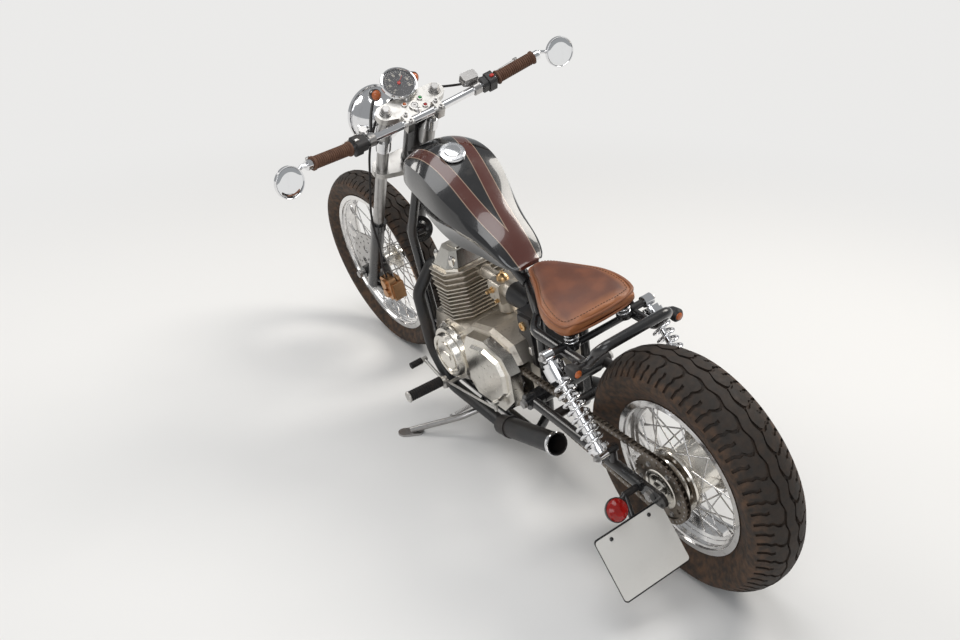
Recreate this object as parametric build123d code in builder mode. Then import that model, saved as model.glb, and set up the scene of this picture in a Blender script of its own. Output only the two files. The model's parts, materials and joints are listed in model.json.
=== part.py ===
from build123d import *
from math import asin, atan2, copysign, cos, degrees, hypot, pi, radians, sin, sqrt, tan
import os

# A light cruiser motorcycle, parked on its side stand. Millimetres.
# Every piece is drawn on the upright machine: X forward, Y to its left, Z up, with the origin
# on the floor under the rear axle. The last lines turn the fork and lean the whole machine.

# How it stands: the steering axis meets the floor this far ahead of the origin
LEAN = 12.72
STEER = 2.66
HEAD_GROUND_X = 1568.0
WHEELBASE = 1458.0
RAKE = 30.5
TRAIL = 110.0

# Tyres and rims: 150/80-15 behind, 100/90-18 in front
REAR_TYRE_R = 310.5
REAR_TYRE_HALF = 76.0
REAR_CROWN = 90.0
REAR_LIP_R = 202.0
REAR_RIM_HALF = 51.6
FRONT_TYRE_R = 315.0
FRONT_TYRE_HALF = 50.0
FRONT_CROWN = 55.0
FRONT_LIP_R = 244.0
FRONT_RIM_HALF = 32.0
LIP_HEIGHT = 12.0
BEAD_WALL = 9.0
RIM_WALL = 4.5
RIM_STEP = 9.0
FIT = 0.3
SPOKE_R = 1.9
SPOKES_PER_SIDE = 18

# Chain drive
CHAIN_PITCH = 15.875
REAR_TEETH = 33
FRONT_TEETH = 15
CHAIN_Y = 96.0
ROLLER_R = 5.0
CLEAR_BEHIND = 3
CLEAR_AHEAD = 2
PLATE_HALF_HEIGHT = 7.4
PLATE_THICK = 1.8
CHAIN_INNER_HALF = 4.8
WAIST = 2.6
SHAFT_X = 586.0
SHAFT_Z = 338.0

# Frame tubes, with their places along the machine and above the floor
RAIL_R = 13.0
BACKBONE_R = 19.0
HEAD_TUBE_R = 27.0
HEAD_BORE_R = 17.0
BACKBONE_BEND = (880.0, 742.0)
BACKBONE_TAIL = (585.0, 585.0)
CRADLE_Y = 85.0
CRADLE_Z = 150.0
CRADLE_FRONT_X = 1015.0
CRADLE_REAR_X = 545.0
DOWN_BEND_Z = 610.0
UPRIGHT_Y = 66.0
UPRIGHT_TOP_X = 452.0
UPRIGHT_TOP_Z = 566.0
PIVOT_X = 470.0
PIVOT_Z = 330.0
PIVOT_HALF = 92.0
PIVOT_TUBE_R = 24.0
PIVOT_BOLT_R = 10.0
SEAT_RAIL_Y = 105.0
SEAT_RAIL_Z = 562.0
LOOP_X = 150.0
LOOP_Z = 636.0
LOOP_FOOT_X = 215.0
POST_R = 10.0
RACK_BOSS_X = 232.0
RACK_BOSS_R = 9.0
RACK_BOLT_R = 4.25
RACK_BOSS_LENGTH = 20.0

# Swingarm and shocks
ARM_LEFT_Y = 122.0
ARM_RIGHT_Y = -112.0
ARM_R = 14.0
AXLE_R = 8.0
SHOCK_Y = 152.0
SHOCK_TOP = (299.0, SHOCK_Y, 573.0)
SHOCK_FOOT = (136.0, SHOCK_Y, 363.0)
SHOCK_SPRING_R = 23.0
SHOCK_WIRE_R = 4.0
SHOCK_COILS = 8

# Fork and yokes, measured along the steering axis, ahead of it and to the left
FORK_HALF = 80.0
FORK_AHEAD = 28.0
STANCHION_R = 17.0
SLIDER_R = 21.0
SLIDER_TOP = 640.0
CALIPER_BACK = 106.0
CALIPER_DROP = 30.0
CALIPER_HALF = 31.0
TOP_YOKE = 1104.0
LOW_YOKE = 878.0
YOKE_THICK = 20.0
YOKE_CLEAR = 14.0
STEM_R = 12.5
KEY_AHEAD = 8.0
# The warning lamps on the top yoke: lead, side
YOKE_LAMPS = [(25.0, 21.0), (24.0, -29.0), (-4.0, -27.0)]
YOKE_LAMP_R = 8.0

# Bar and what it carries: rise above the bar's middle, lead, side
BAR_R = 11.0
BAR_BORE_R = 8.5
GRIP_R = 16.5
BAR_RISE = 20.1
BAR_AHEAD = -30.7
GRIP_START = (21.7, -9.3, 237.0)
BAR_END = (45.5, -16.2, 360.0)
MIRROR_CENTRE = (47.2, -40.7, 435.0)
BAR_STRAIGHT = 70.0
CLAMP_Y = 49.0
CLAMP_WIDTH = 22.0
CLAMP_HALF = 19.0
MIRROR_R = 42.0

# Engine
CYLINDER_X = 872.0
CYLINDER_Z = 400.0
CYLINDER_LEAN = 5.0
CASE_HALF = 105.0
COVER_HALF = 148.0
FIN_HALF_WIDTH = 110.0
FIN_CORNER_X = 33.0
FIN_CORNER_Y = 47.0

# Side stand: its pivot, the axis that it folds about, and its foot
STAND_PIVOT = (800.0, 100.0, 122.0)
STAND_AXIS = (0.12, 0.2, 0.97)
STAND_KNEE = (826.0, 168.0, 98.0)
STAND_FOOT = (912.0, 300.0)
STAND_R = 9.0
STAND_BOLT_R = 5.0
BOSS_R = 13.0
BOSS_HEIGHT = 14.0
FOOT_R = 20.0
FOOT_THICK = 6.0

os.makedirs("parts", exist_ok=True)

rake = radians(RAKE)
lean = radians(LEAN)
ROUND_RISE = 1 / cos(lean) - 1
FRONT_X = HEAD_GROUND_X - TRAIL
REAR_X = FRONT_X - WHEELBASE
REAR_Z = REAR_TYRE_R + REAR_CROWN * ROUND_RISE
FRONT_Z = FRONT_TYRE_R + FRONT_CROWN * ROUND_RISE
HEAD_FOOT = Vector(HEAD_GROUND_X, 0, 0)
HEAD_UP = Vector(-sin(rake), 0, cos(rake))
HEAD_AHEAD = Vector(cos(rake), 0, sin(rake))
STANCHION_TOP = TOP_YOKE + YOKE_THICK + 4
HEAD_LOW = LOW_YOKE + YOKE_THICK + YOKE_CLEAR
HEAD_HIGH = TOP_YOKE - YOKE_CLEAR - 2
HEAD_MIDDLE = (HEAD_LOW + HEAD_HIGH) / 2
BAR_ALONG = TOP_YOKE + BAR_RISE
STEERING = Axis(HEAD_FOOT, HEAD_UP)
FRONT_AXLE = Vector(FRONT_X, 0, FRONT_Z)
CALIPER_X = FRONT_X - CALIPER_BACK
CALIPER_Z = FRONT_Z - CALIPER_DROP
STAND_UP = Vector(STAND_AXIS).normalized()
AXLE_ALONG = (FRONT_AXLE - HEAD_FOOT).dot(HEAD_UP)
AXLE_AHEAD = (FRONT_AXLE - HEAD_FOOT).dot(HEAD_AHEAD)


def on_head(along, ahead=0.0, y=0.0):
    """A point given by its height along the steering axis, its lead ahead of it and its side."""
    return HEAD_FOOT + HEAD_UP * along + HEAD_AHEAD * ahead + Vector(0, y, 0)


def on_bar(rise, lead, y):
    """A point given from the bar's middle: its rise along the steering axis, its lead and its side."""
    return on_head(BAR_ALONG + rise, BAR_AHEAD + lead, y)


def head_plane(along, ahead=0.0, y=0.0):
    """A plane square to the steering axis, its x ahead and its y to the left."""
    return Plane(origin=on_head(along, ahead, y), x_dir=HEAD_AHEAD, z_dir=HEAD_UP)


def across(x, z, y=0.0):
    """A plane that faces left, its x forward and its y down, at one place of the machine."""
    return Plane(origin=(x, y, z), x_dir=(1, 0, 0), z_dir=(0, 1, 0))


def rod(start, end, radius, bore=0.0):
    """A round bar from start to end, or a pipe if it has a bore."""
    start, end = Vector(start), Vector(end)
    with BuildPart() as piece:
        with BuildSketch(Plane(origin=start, z_dir=end - start)):
            Circle(radius)
            if bore:
                Circle(bore, mode=Mode.SUBTRACT)
        extrude(amount=(end - start).length)
    return piece.part


def bent_tube(points, radius, bend, bore=0.0):
    """A tube through the points, with its corners bent to one radius or a list of them."""
    with BuildPart() as piece:
        with BuildLine() as route:
            FilletPolyline(*points, radius=bend)
        with BuildSketch(Plane(origin=route.line @ 0, z_dir=route.line % 0)):
            Circle(radius)
            if bore:
                Circle(bore, mode=Mode.SUBTRACT)
        sweep(path=route.line)
    return piece.part


def coil(start, end, radius, wire, turns):
    """A helical spring: half turns in planes that tilt by turns, so that each runs into the next."""
    start, end = Vector(start), Vector(end)
    plane = Plane(origin=start, z_dir=end - start)
    rise = (end - start).length / (2 * turns)
    with BuildPart() as piece:
        for half in range(2 * turns):
            side = 1 if half % 2 == 0 else -1
            tilt = degrees(atan2(rise, 2 * radius))
            middle = plane * Location((0, 0, rise * (half + 0.5)))
            turned = Plane(middle * Location((0, 0, 0), (0, side * tilt, 0)))
            reach = hypot(radius, rise / 2)
            with BuildSketch(Plane(origin=turned.from_local_coords((side * reach, 0, 0)),
                                   x_dir=turned.x_dir, z_dir=turned.y_dir * -1)):
                Circle(wire)
            revolve(axis=Axis(turned.origin, turned.z_dir), revolution_arc=180)
    return piece.part


def spun(origin, facing, section):
    """A closed outline of (distance along, radius), turned about the line from origin that faces facing."""
    spin = Plane(origin=origin, z_dir=facing)
    with BuildPart() as piece:
        with BuildSketch(Plane(origin=origin, x_dir=spin.z_dir, z_dir=spin.x_dir)):
            with BuildLine():
                Polyline(*section, close=True)
            make_face()
        revolve(axis=Axis(origin, facing))
    return piece.part


def ring_body(section, x, z):
    """A closed outline of radius and side, turned about an axle that lies across the machine."""
    with BuildPart() as piece:
        with BuildSketch(Plane(origin=(x, 0, z), x_dir=(0, 1, 0), z_dir=(1, 0, 0))):
            with BuildLine():
                Polyline(*[(side, radius) for radius, side in section], close=True)
            make_face()
        revolve(axis=Axis((x, 0, z), (0, 1, 0)))
    return piece.part


# Tyres: crown, shoulders and sidewalls, open towards the rim
def tyre_section(crown_r, half, crown, lip_r, rim_half):
    """The casing's outline: an arc for the crown, straight walls, and beads inside the rim's lips."""
    bead_r = lip_r - LIP_HEIGHT + FIT
    bead_y = rim_half - RIM_WALL - FIT
    belly_r = (crown_r + lip_r) / 2 + 4
    edge_y = half * 0.86
    edge_drop = crown - sqrt(crown ** 2 - edge_y ** 2)
    return bead_r, bead_y, belly_r, edge_y, crown_r - edge_drop


def tyre_body(x, z, crown_r, half, crown, lip_r, rim_half):
    """A tyre casing turned about its axle."""
    bead_r, bead_y, belly_r, edge_y, edge_r = tyre_section(crown_r, half, crown, lip_r, rim_half)
    with BuildPart() as piece:
        with BuildSketch(Plane(origin=(x, 0, z), x_dir=(0, 1, 0), z_dir=(1, 0, 0))):
            with BuildLine():
                ThreePointArc((-edge_y, edge_r), (0, crown_r), (edge_y, edge_r))
                ThreePointArc((edge_y, edge_r), (half, (edge_r + belly_r) / 2 - 4), (half - 3, belly_r - 12))
                Line((half - 3, belly_r - 12), (bead_y, lip_r + FIT))
                Line((bead_y, lip_r + FIT), (bead_y, bead_r))
                Line((bead_y, bead_r), (bead_y - BEAD_WALL, bead_r))
                Line((bead_y - BEAD_WALL, bead_r), (half - 14, belly_r - 8))
                Line((half - 14, belly_r - 8), (edge_y - 12, edge_r - 11))
                ThreePointArc((edge_y - 12, edge_r - 11), (0, crown_r - 13), (12 - edge_y, edge_r - 11))
                Line((12 - edge_y, edge_r - 11), (14 - half, belly_r - 8))
                Line((14 - half, belly_r - 8), (BEAD_WALL - bead_y, bead_r))
                Line((BEAD_WALL - bead_y, bead_r), (-bead_y, bead_r))
                Line((-bead_y, bead_r), (-bead_y, lip_r + FIT))
                Line((-bead_y, lip_r + FIT), (3 - half, belly_r - 12))
                ThreePointArc((3 - half, belly_r - 12), (-half, (edge_r + belly_r) / 2 - 4),
                              (-edge_y, edge_r))
            make_face()
        revolve(axis=Axis((x, 0, z), (0, 1, 0)))
    return piece.part


def rim_body(x, z, lip_r, half, well_drop, well_half):
    """A stepped steel rim: rolled lips, bead seats and a well for the nipples."""
    seat_r = lip_r - LIP_HEIGHT
    well_r = seat_r - well_drop
    inner = [(lip_r, half), (lip_r, half - RIM_WALL), (seat_r, half - RIM_WALL),
             (seat_r - 1.5, well_half + well_drop * 0.8), (well_r, well_half)]
    slope_r = (well_r + seat_r) / 2 - RIM_WALL
    slope_y = well_half + well_drop * 0.4
    wall_r = seat_r - RIM_WALL
    outer = [(well_r - RIM_WALL, well_half + 1), (slope_r - 1, slope_y), (slope_r - 1, slope_y + 3),
             (wall_r - 1, well_half + well_drop * 0.8 + 3), (wall_r - 1, half - RIM_STEP - 4),
             (wall_r - 4, half - RIM_STEP - 2), (wall_r - 4, half - RIM_STEP + 2),
             (wall_r, half - RIM_STEP + 4), (wall_r + 2, half)]
    section = inner + [(r, -y) for r, y in reversed(inner)] + [(r, -y) for r, y in reversed(outer)] + outer
    return ring_body(section, x, z)


def spoke_set(x, z, flange_r, flange_y, rim_r, rim_y, count):
    """Laced spokes: on each side half lead and half trail, on the two faces of the flange."""
    step = 360 / count
    solids = []
    for side in (1, -1):
        for index in range(count):
            forward = 1 if index % 2 == 0 else -1
            shift = step / 2 if side < 0 else 0
            hub_angle = radians(index * step + shift)
            rim_angle = hub_angle + forward * radians(3.0 * step)
            root_y = side * (flange_y + 3.5 * forward)
            tip_y = side * (rim_y + 3.5 * forward)
            root = (x + flange_r * cos(hub_angle), root_y, z + flange_r * sin(hub_angle))
            tip = (x + rim_r * cos(rim_angle), tip_y, z + rim_r * sin(rim_angle))
            solids.append(rod(root, tip, SPOKE_R))
    return solids


with BuildPart() as rear_tyre:
    add(tyre_body(REAR_X, REAR_Z, REAR_TYRE_R, REAR_TYRE_HALF, REAR_CROWN, REAR_LIP_R, REAR_RIM_HALF))
rear_tyre.part.label = "rear_tyre"

with BuildPart() as front_tyre:
    add(tyre_body(FRONT_X, FRONT_Z, FRONT_TYRE_R, FRONT_TYRE_HALF, FRONT_CROWN, FRONT_LIP_R,
                  FRONT_RIM_HALF))
front_tyre.part.label = "front_tyre"

REAR_WELL = 14.0
REAR_WELL_HALF = 16.0
FRONT_WELL = 9.0
FRONT_WELL_HALF = 8.0

with BuildPart() as rear_rim:
    add(rim_body(REAR_X, REAR_Z, REAR_LIP_R, REAR_RIM_HALF, REAR_WELL, REAR_WELL_HALF))
rear_rim.part.label = "rear_rim"

with BuildPart() as front_rim:
    add(rim_body(FRONT_X, FRONT_Z, FRONT_LIP_R, FRONT_RIM_HALF, FRONT_WELL, FRONT_WELL_HALF))
front_rim.part.label = "front_rim"

# Hubs, as radius and side: a domed drum behind, a small disc hub in front
REAR_FLANGE_R = 74.0
REAR_FLANGE_Y = 50.5
REAR_HUB_HALF = 88.0
DRUM_R = 80.0
AXLE_FIT = 0.05
AXLE_BORE = AXLE_R + AXLE_FIT
FRONT_FLANGE_R = 42.0
FRONT_FLANGE_Y = 28.0
DISC_R = 118.0
DISC_Y = 50.0
DISC_THICK = 4.0
REAR_HUB = [(AXLE_BORE, 2 - REAR_HUB_HALF), (26, -86), (30, -80), (60, -78), (73, -74), (DRUM_R, -68),
            (DRUM_R, -60), (77, -58), (77, -56), (DRUM_R, -54), (DRUM_R, -45), (66, -43), (61, -34),
            (61, 34), (66, 43), (DRUM_R, 45), (DRUM_R, 56), (78, 60), (70, 64), (62, 66), (58, 72),
            (52, 74), (50, REAR_HUB_HALF), (AXLE_BORE, REAR_HUB_HALF)]
FRONT_HUB = [(AXLE_BORE, -52), (22, -52), (26, -36), (40, -34), (46, -32), (46, -25), (30, -21), (24, -14),
             (24, 14), (30, 21), (46, 25), (46, 32), (40, 36), (40, DISC_Y - FIT), (AXLE_BORE, DISC_Y - FIT)]

with BuildPart() as rear_hub:
    add(ring_body(REAR_HUB, REAR_X, REAR_Z))
rear_hub.part.label = "rear_hub"

with BuildPart() as front_hub:
    add(ring_body(FRONT_HUB, FRONT_X, FRONT_Z))
front_hub.part.label = "front_hub"

REAR_SPOKE_RIM_R = REAR_LIP_R - LIP_HEIGHT - REAR_WELL - RIM_WALL + 2
FRONT_SPOKE_RIM_R = FRONT_LIP_R - LIP_HEIGHT - FRONT_WELL - RIM_WALL + 2

with BuildPart() as rear_spokes:
    for spoke in spoke_set(REAR_X, REAR_Z, REAR_FLANGE_R, REAR_FLANGE_Y, REAR_SPOKE_RIM_R, 8,
                           SPOKES_PER_SIDE):
        add(spoke)
rear_spokes.part.label = "rear_spokes"

with BuildPart() as front_spokes:
    for spoke in spoke_set(FRONT_X, FRONT_Z, FRONT_FLANGE_R, FRONT_FLANGE_Y, FRONT_SPOKE_RIM_R, 4,
                           SPOKES_PER_SIDE):
        add(spoke)
front_spokes.part.label = "front_spokes"

DISC_HOLE_RINGS = [(106, 18, 4), (90, 18, 4), (62, 6, 14)]
with BuildPart() as brake_disc:
    with BuildSketch(across(FRONT_X, FRONT_Z, DISC_Y)):
        Circle(DISC_R)
        for ring_r, count, hole_r in DISC_HOLE_RINGS:
            with PolarLocations(ring_r, count, start_angle=2 * hole_r if hole_r < 5 else 0):
                Circle(hole_r, mode=Mode.SUBTRACT)
        Circle(AXLE_R + 6, mode=Mode.SUBTRACT)
    extrude(amount=DISC_THICK)
brake_disc.part.label = "brake_disc"


# A plane along the machine: x forward, y up, offset to the right
SIDE = Plane(origin=(0, 0, 0), x_dir=(1, 0, 0), z_dir=(0, -1, 0))


# Chain and sprockets
def pitch_radius(teeth):
    """The radius of the circle that the rollers' centres lie on."""
    return CHAIN_PITCH / 2 / sin(pi / teeth)


def sprocket_outline(teeth):
    """Tooth tips and roller seats as points, tip, flank, seat and flank for each tooth."""
    pitch_r = pitch_radius(teeth)
    step = 360 / teeth
    points = []
    for tooth in range(teeth):
        for share, radius in ((-0.14, pitch_r + 5), (0.14, pitch_r + 5), (0.36, pitch_r - 4.5),
                              (0.64, pitch_r - 4.5)):
            angle = radians((tooth + share) * step)
            points.append((radius * cos(angle), radius * sin(angle)))
    return points


REAR_PITCH_R = pitch_radius(REAR_TEETH)
FRONT_PITCH_R = pitch_radius(FRONT_TEETH)
TOOTH_HALF = 3.0
CARRIER_R = 58.0
CARRIER_BACK = 88.0
CARRIER_FACE = 97.0
# Radius and side of the polished ring that covers the carrier's bolts
CARRIER_RING = [(AXLE_BORE, CARRIER_FACE + FIT), (51, CARRIER_FACE + FIT), (51, 99.5), (48, 101),
                (40, 101.5), (36, 99.5), (24, 99.5), (20, 103), (AXLE_BORE, 103)]

with BuildPart() as rear_sprocket:
    with BuildSketch(across(REAR_X, REAR_Z, CHAIN_Y - TOOTH_HALF)):
        with BuildLine():
            Polyline(*sprocket_outline(REAR_TEETH), close=True)
        make_face()
        Circle(CARRIER_R - 6, mode=Mode.SUBTRACT)
        with PolarLocations(REAR_PITCH_R - 18, 6, start_angle=30):
            Circle(7, mode=Mode.SUBTRACT)
    extrude(amount=2 * TOOTH_HALF)
    with BuildSketch(across(REAR_X, REAR_Z, CARRIER_BACK + FIT)):
        Circle(CARRIER_R)
        Circle(AXLE_BORE, mode=Mode.SUBTRACT)
    extrude(amount=CARRIER_FACE - CARRIER_BACK - FIT)
rear_sprocket.part.label = "rear_sprocket"

with BuildPart() as sprocket_ring:
    add(ring_body(CARRIER_RING, REAR_X, REAR_Z))
sprocket_ring.part.label = "sprocket_ring"

RECESS_FLOOR = CASE_HALF - 34

with BuildPart() as front_sprocket:
    with BuildSketch(SIDE.offset(-(CHAIN_Y - CHAIN_INNER_HALF + FIT))):
        with BuildLine():
            Polyline(*[(SHAFT_X + along, SHAFT_Z + up) for along, up in sprocket_outline(FRONT_TEETH)],
                     close=True)
        make_face()
    extrude(amount=2 * FIT - 2 * CHAIN_INNER_HALF)
    add(rod((SHAFT_X, RECESS_FLOOR + FIT, SHAFT_Z), (SHAFT_X, CHAIN_Y + 8, SHAFT_Z), 17))
front_sprocket.part.label = "front_sprocket"

SPAN = hypot(SHAFT_X - REAR_X, SHAFT_Z - REAR_Z)
SPAN_TILT = atan2(SHAFT_Z - REAR_Z, SHAFT_X - REAR_X)
WRAP = asin((REAR_PITCH_R - FRONT_PITCH_R) / SPAN)


def chain_loop(offset):
    """The chain's path, or a line beside it, as an outline of two runs and two arcs."""
    big, small = REAR_PITCH_R + offset, FRONT_PITCH_R + offset
    ends = []
    for sign in (1, -1):
        angle = SPAN_TILT + sign * (pi / 2 - WRAP)
        ends.append(((REAR_X + big * cos(angle), REAR_Z + big * sin(angle)),
                     (SHAFT_X + small * cos(angle), SHAFT_Z + small * sin(angle))))
    back = (REAR_X + big * cos(SPAN_TILT + pi), REAR_Z + big * sin(SPAN_TILT + pi))
    front = (SHAFT_X + small * cos(SPAN_TILT), SHAFT_Z + small * sin(SPAN_TILT))
    return ends, back, front


def waisted(start, end, inwards):
    """The edge of a run of link plates: straight over each roller and notched between rollers."""
    start, end = Vector(*start), Vector(*end)
    way = (end - start).normalized()
    notch = Vector(-way.Y, way.X) * inwards * WAIST
    points = [start]
    for index in range(int((end - start).length / CHAIN_PITCH)):
        middle = start + way * ((index + 0.5) * CHAIN_PITCH)
        points += [middle - way * WAIST, middle + notch, middle + way * WAIST]
    return [(point.X, point.Y) for point in points + [end]]


with BuildPart() as chain:
    for inner in (CHAIN_Y + CHAIN_INNER_HALF + PLATE_THICK, CHAIN_Y - CHAIN_INNER_HALF):
        with BuildSketch(SIDE.offset(-inner)):
            for beside, mode in ((PLATE_HALF_HEIGHT, Mode.ADD), (-PLATE_HALF_HEIGHT, Mode.SUBTRACT)):
                ends, back, front = chain_loop(beside)
                (rear_top, front_top), (rear_low, front_low) = ends
                inwards = -copysign(1, beside)
                with BuildLine():
                    Polyline(*waisted(rear_top, front_top, inwards))
                    ThreePointArc(front_top, front, front_low)
                    Polyline(*waisted(front_low, rear_low, inwards))
                    ThreePointArc(rear_low, back, rear_top)
                make_face(mode=mode)
        extrude(amount=PLATE_THICK)
    rollers = []
    for start, end in chain_loop(0)[0]:
        start, end = Vector(start[0], CHAIN_Y, start[1]), Vector(end[0], CHAIN_Y, end[1])
        way = (end - start).normalized()
        count = int(((end - start).length - (CLEAR_BEHIND + CLEAR_AHEAD) * CHAIN_PITCH) / CHAIN_PITCH) + 1
        for index in range(count):
            middle = start + way * ((CLEAR_BEHIND + index) * CHAIN_PITCH)
            reach = Vector(0, CHAIN_INNER_HALF + PLATE_THICK / 2, 0)
            rollers.append(rod(middle - reach, middle + reach, ROLLER_R))
    add(rollers)
chain.part.label = "chain"

TUNNEL_HALF = 26.0
CASE_FLOOR = 190.0
SEAT_SPRING_X = 298.0
SEAT_SPRING_Y = 80.0

# Frame: head tube, backbone, twin down tubes and cradle, seat rails and rear loop
SEAT_JOINT = (462.0, 27.3)
SADDLE_POST_X = 517.0
SADDLE_POST_TOP = 604.6
TANK_POST_X = 600.0
TANK_FLOOR = 640.0
TANK_PIN_X = 950.0
TANK_PIN_Z = 781.7
ENGINE_POST_X = 740.0
LUG_Z = 318.0
CASE_NOSE_X = 986.0
FENDER_STRUT_X = 300.0
STAND_POINT = Vector(STAND_PIVOT)


def down_tube(side):
    """One down tube: off the head tube, down past the engine, under it and up to the saddle."""
    return bent_tube([on_head(HEAD_MIDDLE - 30, 0, side * 8), on_head(HEAD_MIDDLE - 46, -76, side * 28),
                      (1035, side * CRADLE_Y, DOWN_BEND_Z),
                      (CRADLE_FRONT_X, side * CRADLE_Y, CRADLE_Z + 60), (950, side * CRADLE_Y, CRADLE_Z),
                      (CRADLE_REAR_X, side * CRADLE_Y, CRADLE_Z), (488, side * UPRIGHT_Y, 250),
                      (UPRIGHT_TOP_X, side * UPRIGHT_Y, UPRIGHT_TOP_Z)], RAIL_R, [28, 90, 90, 50, 70, 60])


def stand_rod(low, high, radius):
    """A bar on the side stand's pivot, from low to high along it."""
    return rod(STAND_POINT + STAND_UP * low, STAND_POINT + STAND_UP * high, radius)


with BuildPart() as frame_tubes:
    add(rod(on_head(HEAD_LOW), on_head(HEAD_HIGH), HEAD_TUBE_R))
    for low in (HEAD_LOW, HEAD_HIGH - 12):
        add(rod(on_head(low), on_head(low + 12), HEAD_TUBE_R + 3))
    add(bent_tube([on_head(HEAD_MIDDLE - 16), (BACKBONE_BEND[0], 0, BACKBONE_BEND[1]),
                   (BACKBONE_TAIL[0], 0, BACKBONE_TAIL[1])], BACKBONE_R, 120))
    for side in (1, -1):
        add(down_tube(side))
        add(rod((BACKBONE_TAIL[0], 0, BACKBONE_TAIL[1]), (UPRIGHT_TOP_X, side * UPRIGHT_Y, UPRIGHT_TOP_Z),
                RAIL_R))
        add(rod((SEAT_SPRING_X, side * SEAT_SPRING_Y, SEAT_RAIL_Z + 2),
                (SEAT_SPRING_X, side * SEAT_SPRING_Y, SEAT_RAIL_Z + 10), 20))
        post_top = (ENGINE_POST_X, side * CRADLE_Y, CASE_FLOOR - FIT)
        add(rod((ENGINE_POST_X, side * CRADLE_Y, CRADLE_Z), post_top, POST_R))
        add(rod((1018, side * CRADLE_Y, LUG_Z), (CASE_NOSE_X + FIT, side * CRADLE_Y, LUG_Z), 9))
        add(rod((SHOCK_TOP[0], side * (SEAT_RAIL_Y - 4), SHOCK_TOP[2]),
                (SHOCK_TOP[0], side * (SHOCK_Y - 12), SHOCK_TOP[2]), POST_R))
    add(rod((STAND_PIVOT[0], CRADLE_Y, CRADLE_Z), STAND_POINT + STAND_UP * 8, 9))
    add(rod((700, -CRADLE_Y, CRADLE_Z), (700, CRADLE_Y, CRADLE_Z), 11))
    loop = [(SEAT_JOINT[0], UPRIGHT_Y, UPRIGHT_TOP_Z), (420, SEAT_RAIL_Y, SEAT_RAIL_Z),
            (LOOP_FOOT_X, SEAT_RAIL_Y, SEAT_RAIL_Z), (LOOP_X, SEAT_RAIL_Y, LOOP_Z)]
    add(bent_tube(loop + [(x, -y, z) for x, y, z in reversed(loop)], RAIL_R, [50, 40, 28, 28, 40, 50]))
    add(rod((FENDER_STRUT_X, -SEAT_RAIL_Y, SEAT_RAIL_Z), (FENDER_STRUT_X, SEAT_RAIL_Y, SEAT_RAIL_Z), 9))
    add(rod((SADDLE_POST_X, -36, 575), (SADDLE_POST_X, 36, 575), 8))
    add(rod((SADDLE_POST_X, 0, 575), (SADDLE_POST_X, 0, SADDLE_POST_TOP), 9))
    add(rod((TANK_PIN_X, FIT - TUNNEL_HALF, TANK_PIN_Z), (TANK_PIN_X, TUNNEL_HALF - FIT, TANK_PIN_Z),
            POST_R))
    add(rod((TANK_POST_X, 0, 590), (TANK_POST_X, 0, TANK_FLOOR - FIT), 8))
    add(rod((PIVOT_X, -PIVOT_HALF, PIVOT_Z), (PIVOT_X, PIVOT_HALF, PIVOT_Z), PIVOT_TUBE_R))
    add(rod(on_head(HEAD_LOW - 1), on_head(HEAD_HIGH + 1), HEAD_BORE_R), mode=Mode.SUBTRACT)
    add(rod((PIVOT_X, -PIVOT_HALF - 1, PIVOT_Z), (PIVOT_X, PIVOT_HALF + 1, PIVOT_Z),
            PIVOT_BOLT_R + AXLE_FIT), mode=Mode.SUBTRACT)
    add(stand_rod(FIT, BOSS_HEIGHT, BOSS_R))
    add(stand_rod(-20, FIT, BOSS_R + 8), mode=Mode.SUBTRACT)
    add(stand_rod(-1, BOSS_HEIGHT + 9, STAND_BOLT_R + AXLE_FIT), mode=Mode.SUBTRACT)
frame_tubes.part.label = "frame_tubes"

# Threaded bosses on the seat rails, where a rack, a guard or bags are bolted, and the lamps' stalks
with BuildPart() as rack_bosses:
    for side in (1, -1):
        seat_y = SEAT_RAIL_Y + RAIL_R + FIT
        with BuildSketch(Plane(origin=(RACK_BOSS_X, side * seat_y, SEAT_RAIL_Z), x_dir=(1, 0, 0),
                               z_dir=(0, side, 0))):
            Circle(RACK_BOSS_R)
        extrude(amount=RACK_BOSS_LENGTH)
        with BuildSketch(Plane(origin=(RACK_BOSS_X, side * (seat_y + 2), SEAT_RAIL_Z), x_dir=(1, 0, 0),
                               z_dir=(0, side, 0))):
            Circle(RACK_BOLT_R)
        extrude(amount=RACK_BOSS_LENGTH, mode=Mode.SUBTRACT)
rack_bosses.part.label = "rack_bosses"

# Swingarm: two arms, a cross tube and its pivot bolt
CROSS_X = PIVOT_X - 92
with BuildPart() as swingarm:
    for y in (ARM_LEFT_Y, ARM_RIGHT_Y):
        side = copysign(1, y)
        add(rod((PIVOT_X, y, PIVOT_Z), (REAR_X + 34, y, REAR_Z + 2), ARM_R))
        with BuildSketch(across(REAR_X, REAR_Z, y - 5)):
            SlotCenterToCenter(56, 40)
            SlotCenterToCenter(14, 2 * AXLE_R + 0.4, mode=Mode.SUBTRACT)
        extrude(amount=10)
        add(rod((REAR_X + SHOCK_FOOT[0], y, REAR_Z + 8), (REAR_X + SHOCK_FOOT[0], y, SHOCK_FOOT[2] - 3), 10))
        add(rod((REAR_X + SHOCK_FOOT[0], y - side * 14, SHOCK_FOOT[2]),
                (REAR_X + SHOCK_FOOT[0], side * (SHOCK_Y - 12), SHOCK_FOOT[2]), 8))
        add(rod((PIVOT_X, y + side * (ARM_R + 2), PIVOT_Z), (PIVOT_X, side * (PIVOT_HALF + FIT), PIVOT_Z),
                22))
    bolt_end = (PIVOT_X, ARM_LEFT_Y + ARM_R + 8, PIVOT_Z)
    add(rod((PIVOT_X, ARM_RIGHT_Y - ARM_R - 8, PIVOT_Z), bolt_end, PIVOT_BOLT_R))
    add(rod((CROSS_X, ARM_RIGHT_Y, PIVOT_Z - 4), (CROSS_X, ARM_LEFT_Y, PIVOT_Z - 4), 13))
swingarm.part.label = "swingarm"

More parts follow.
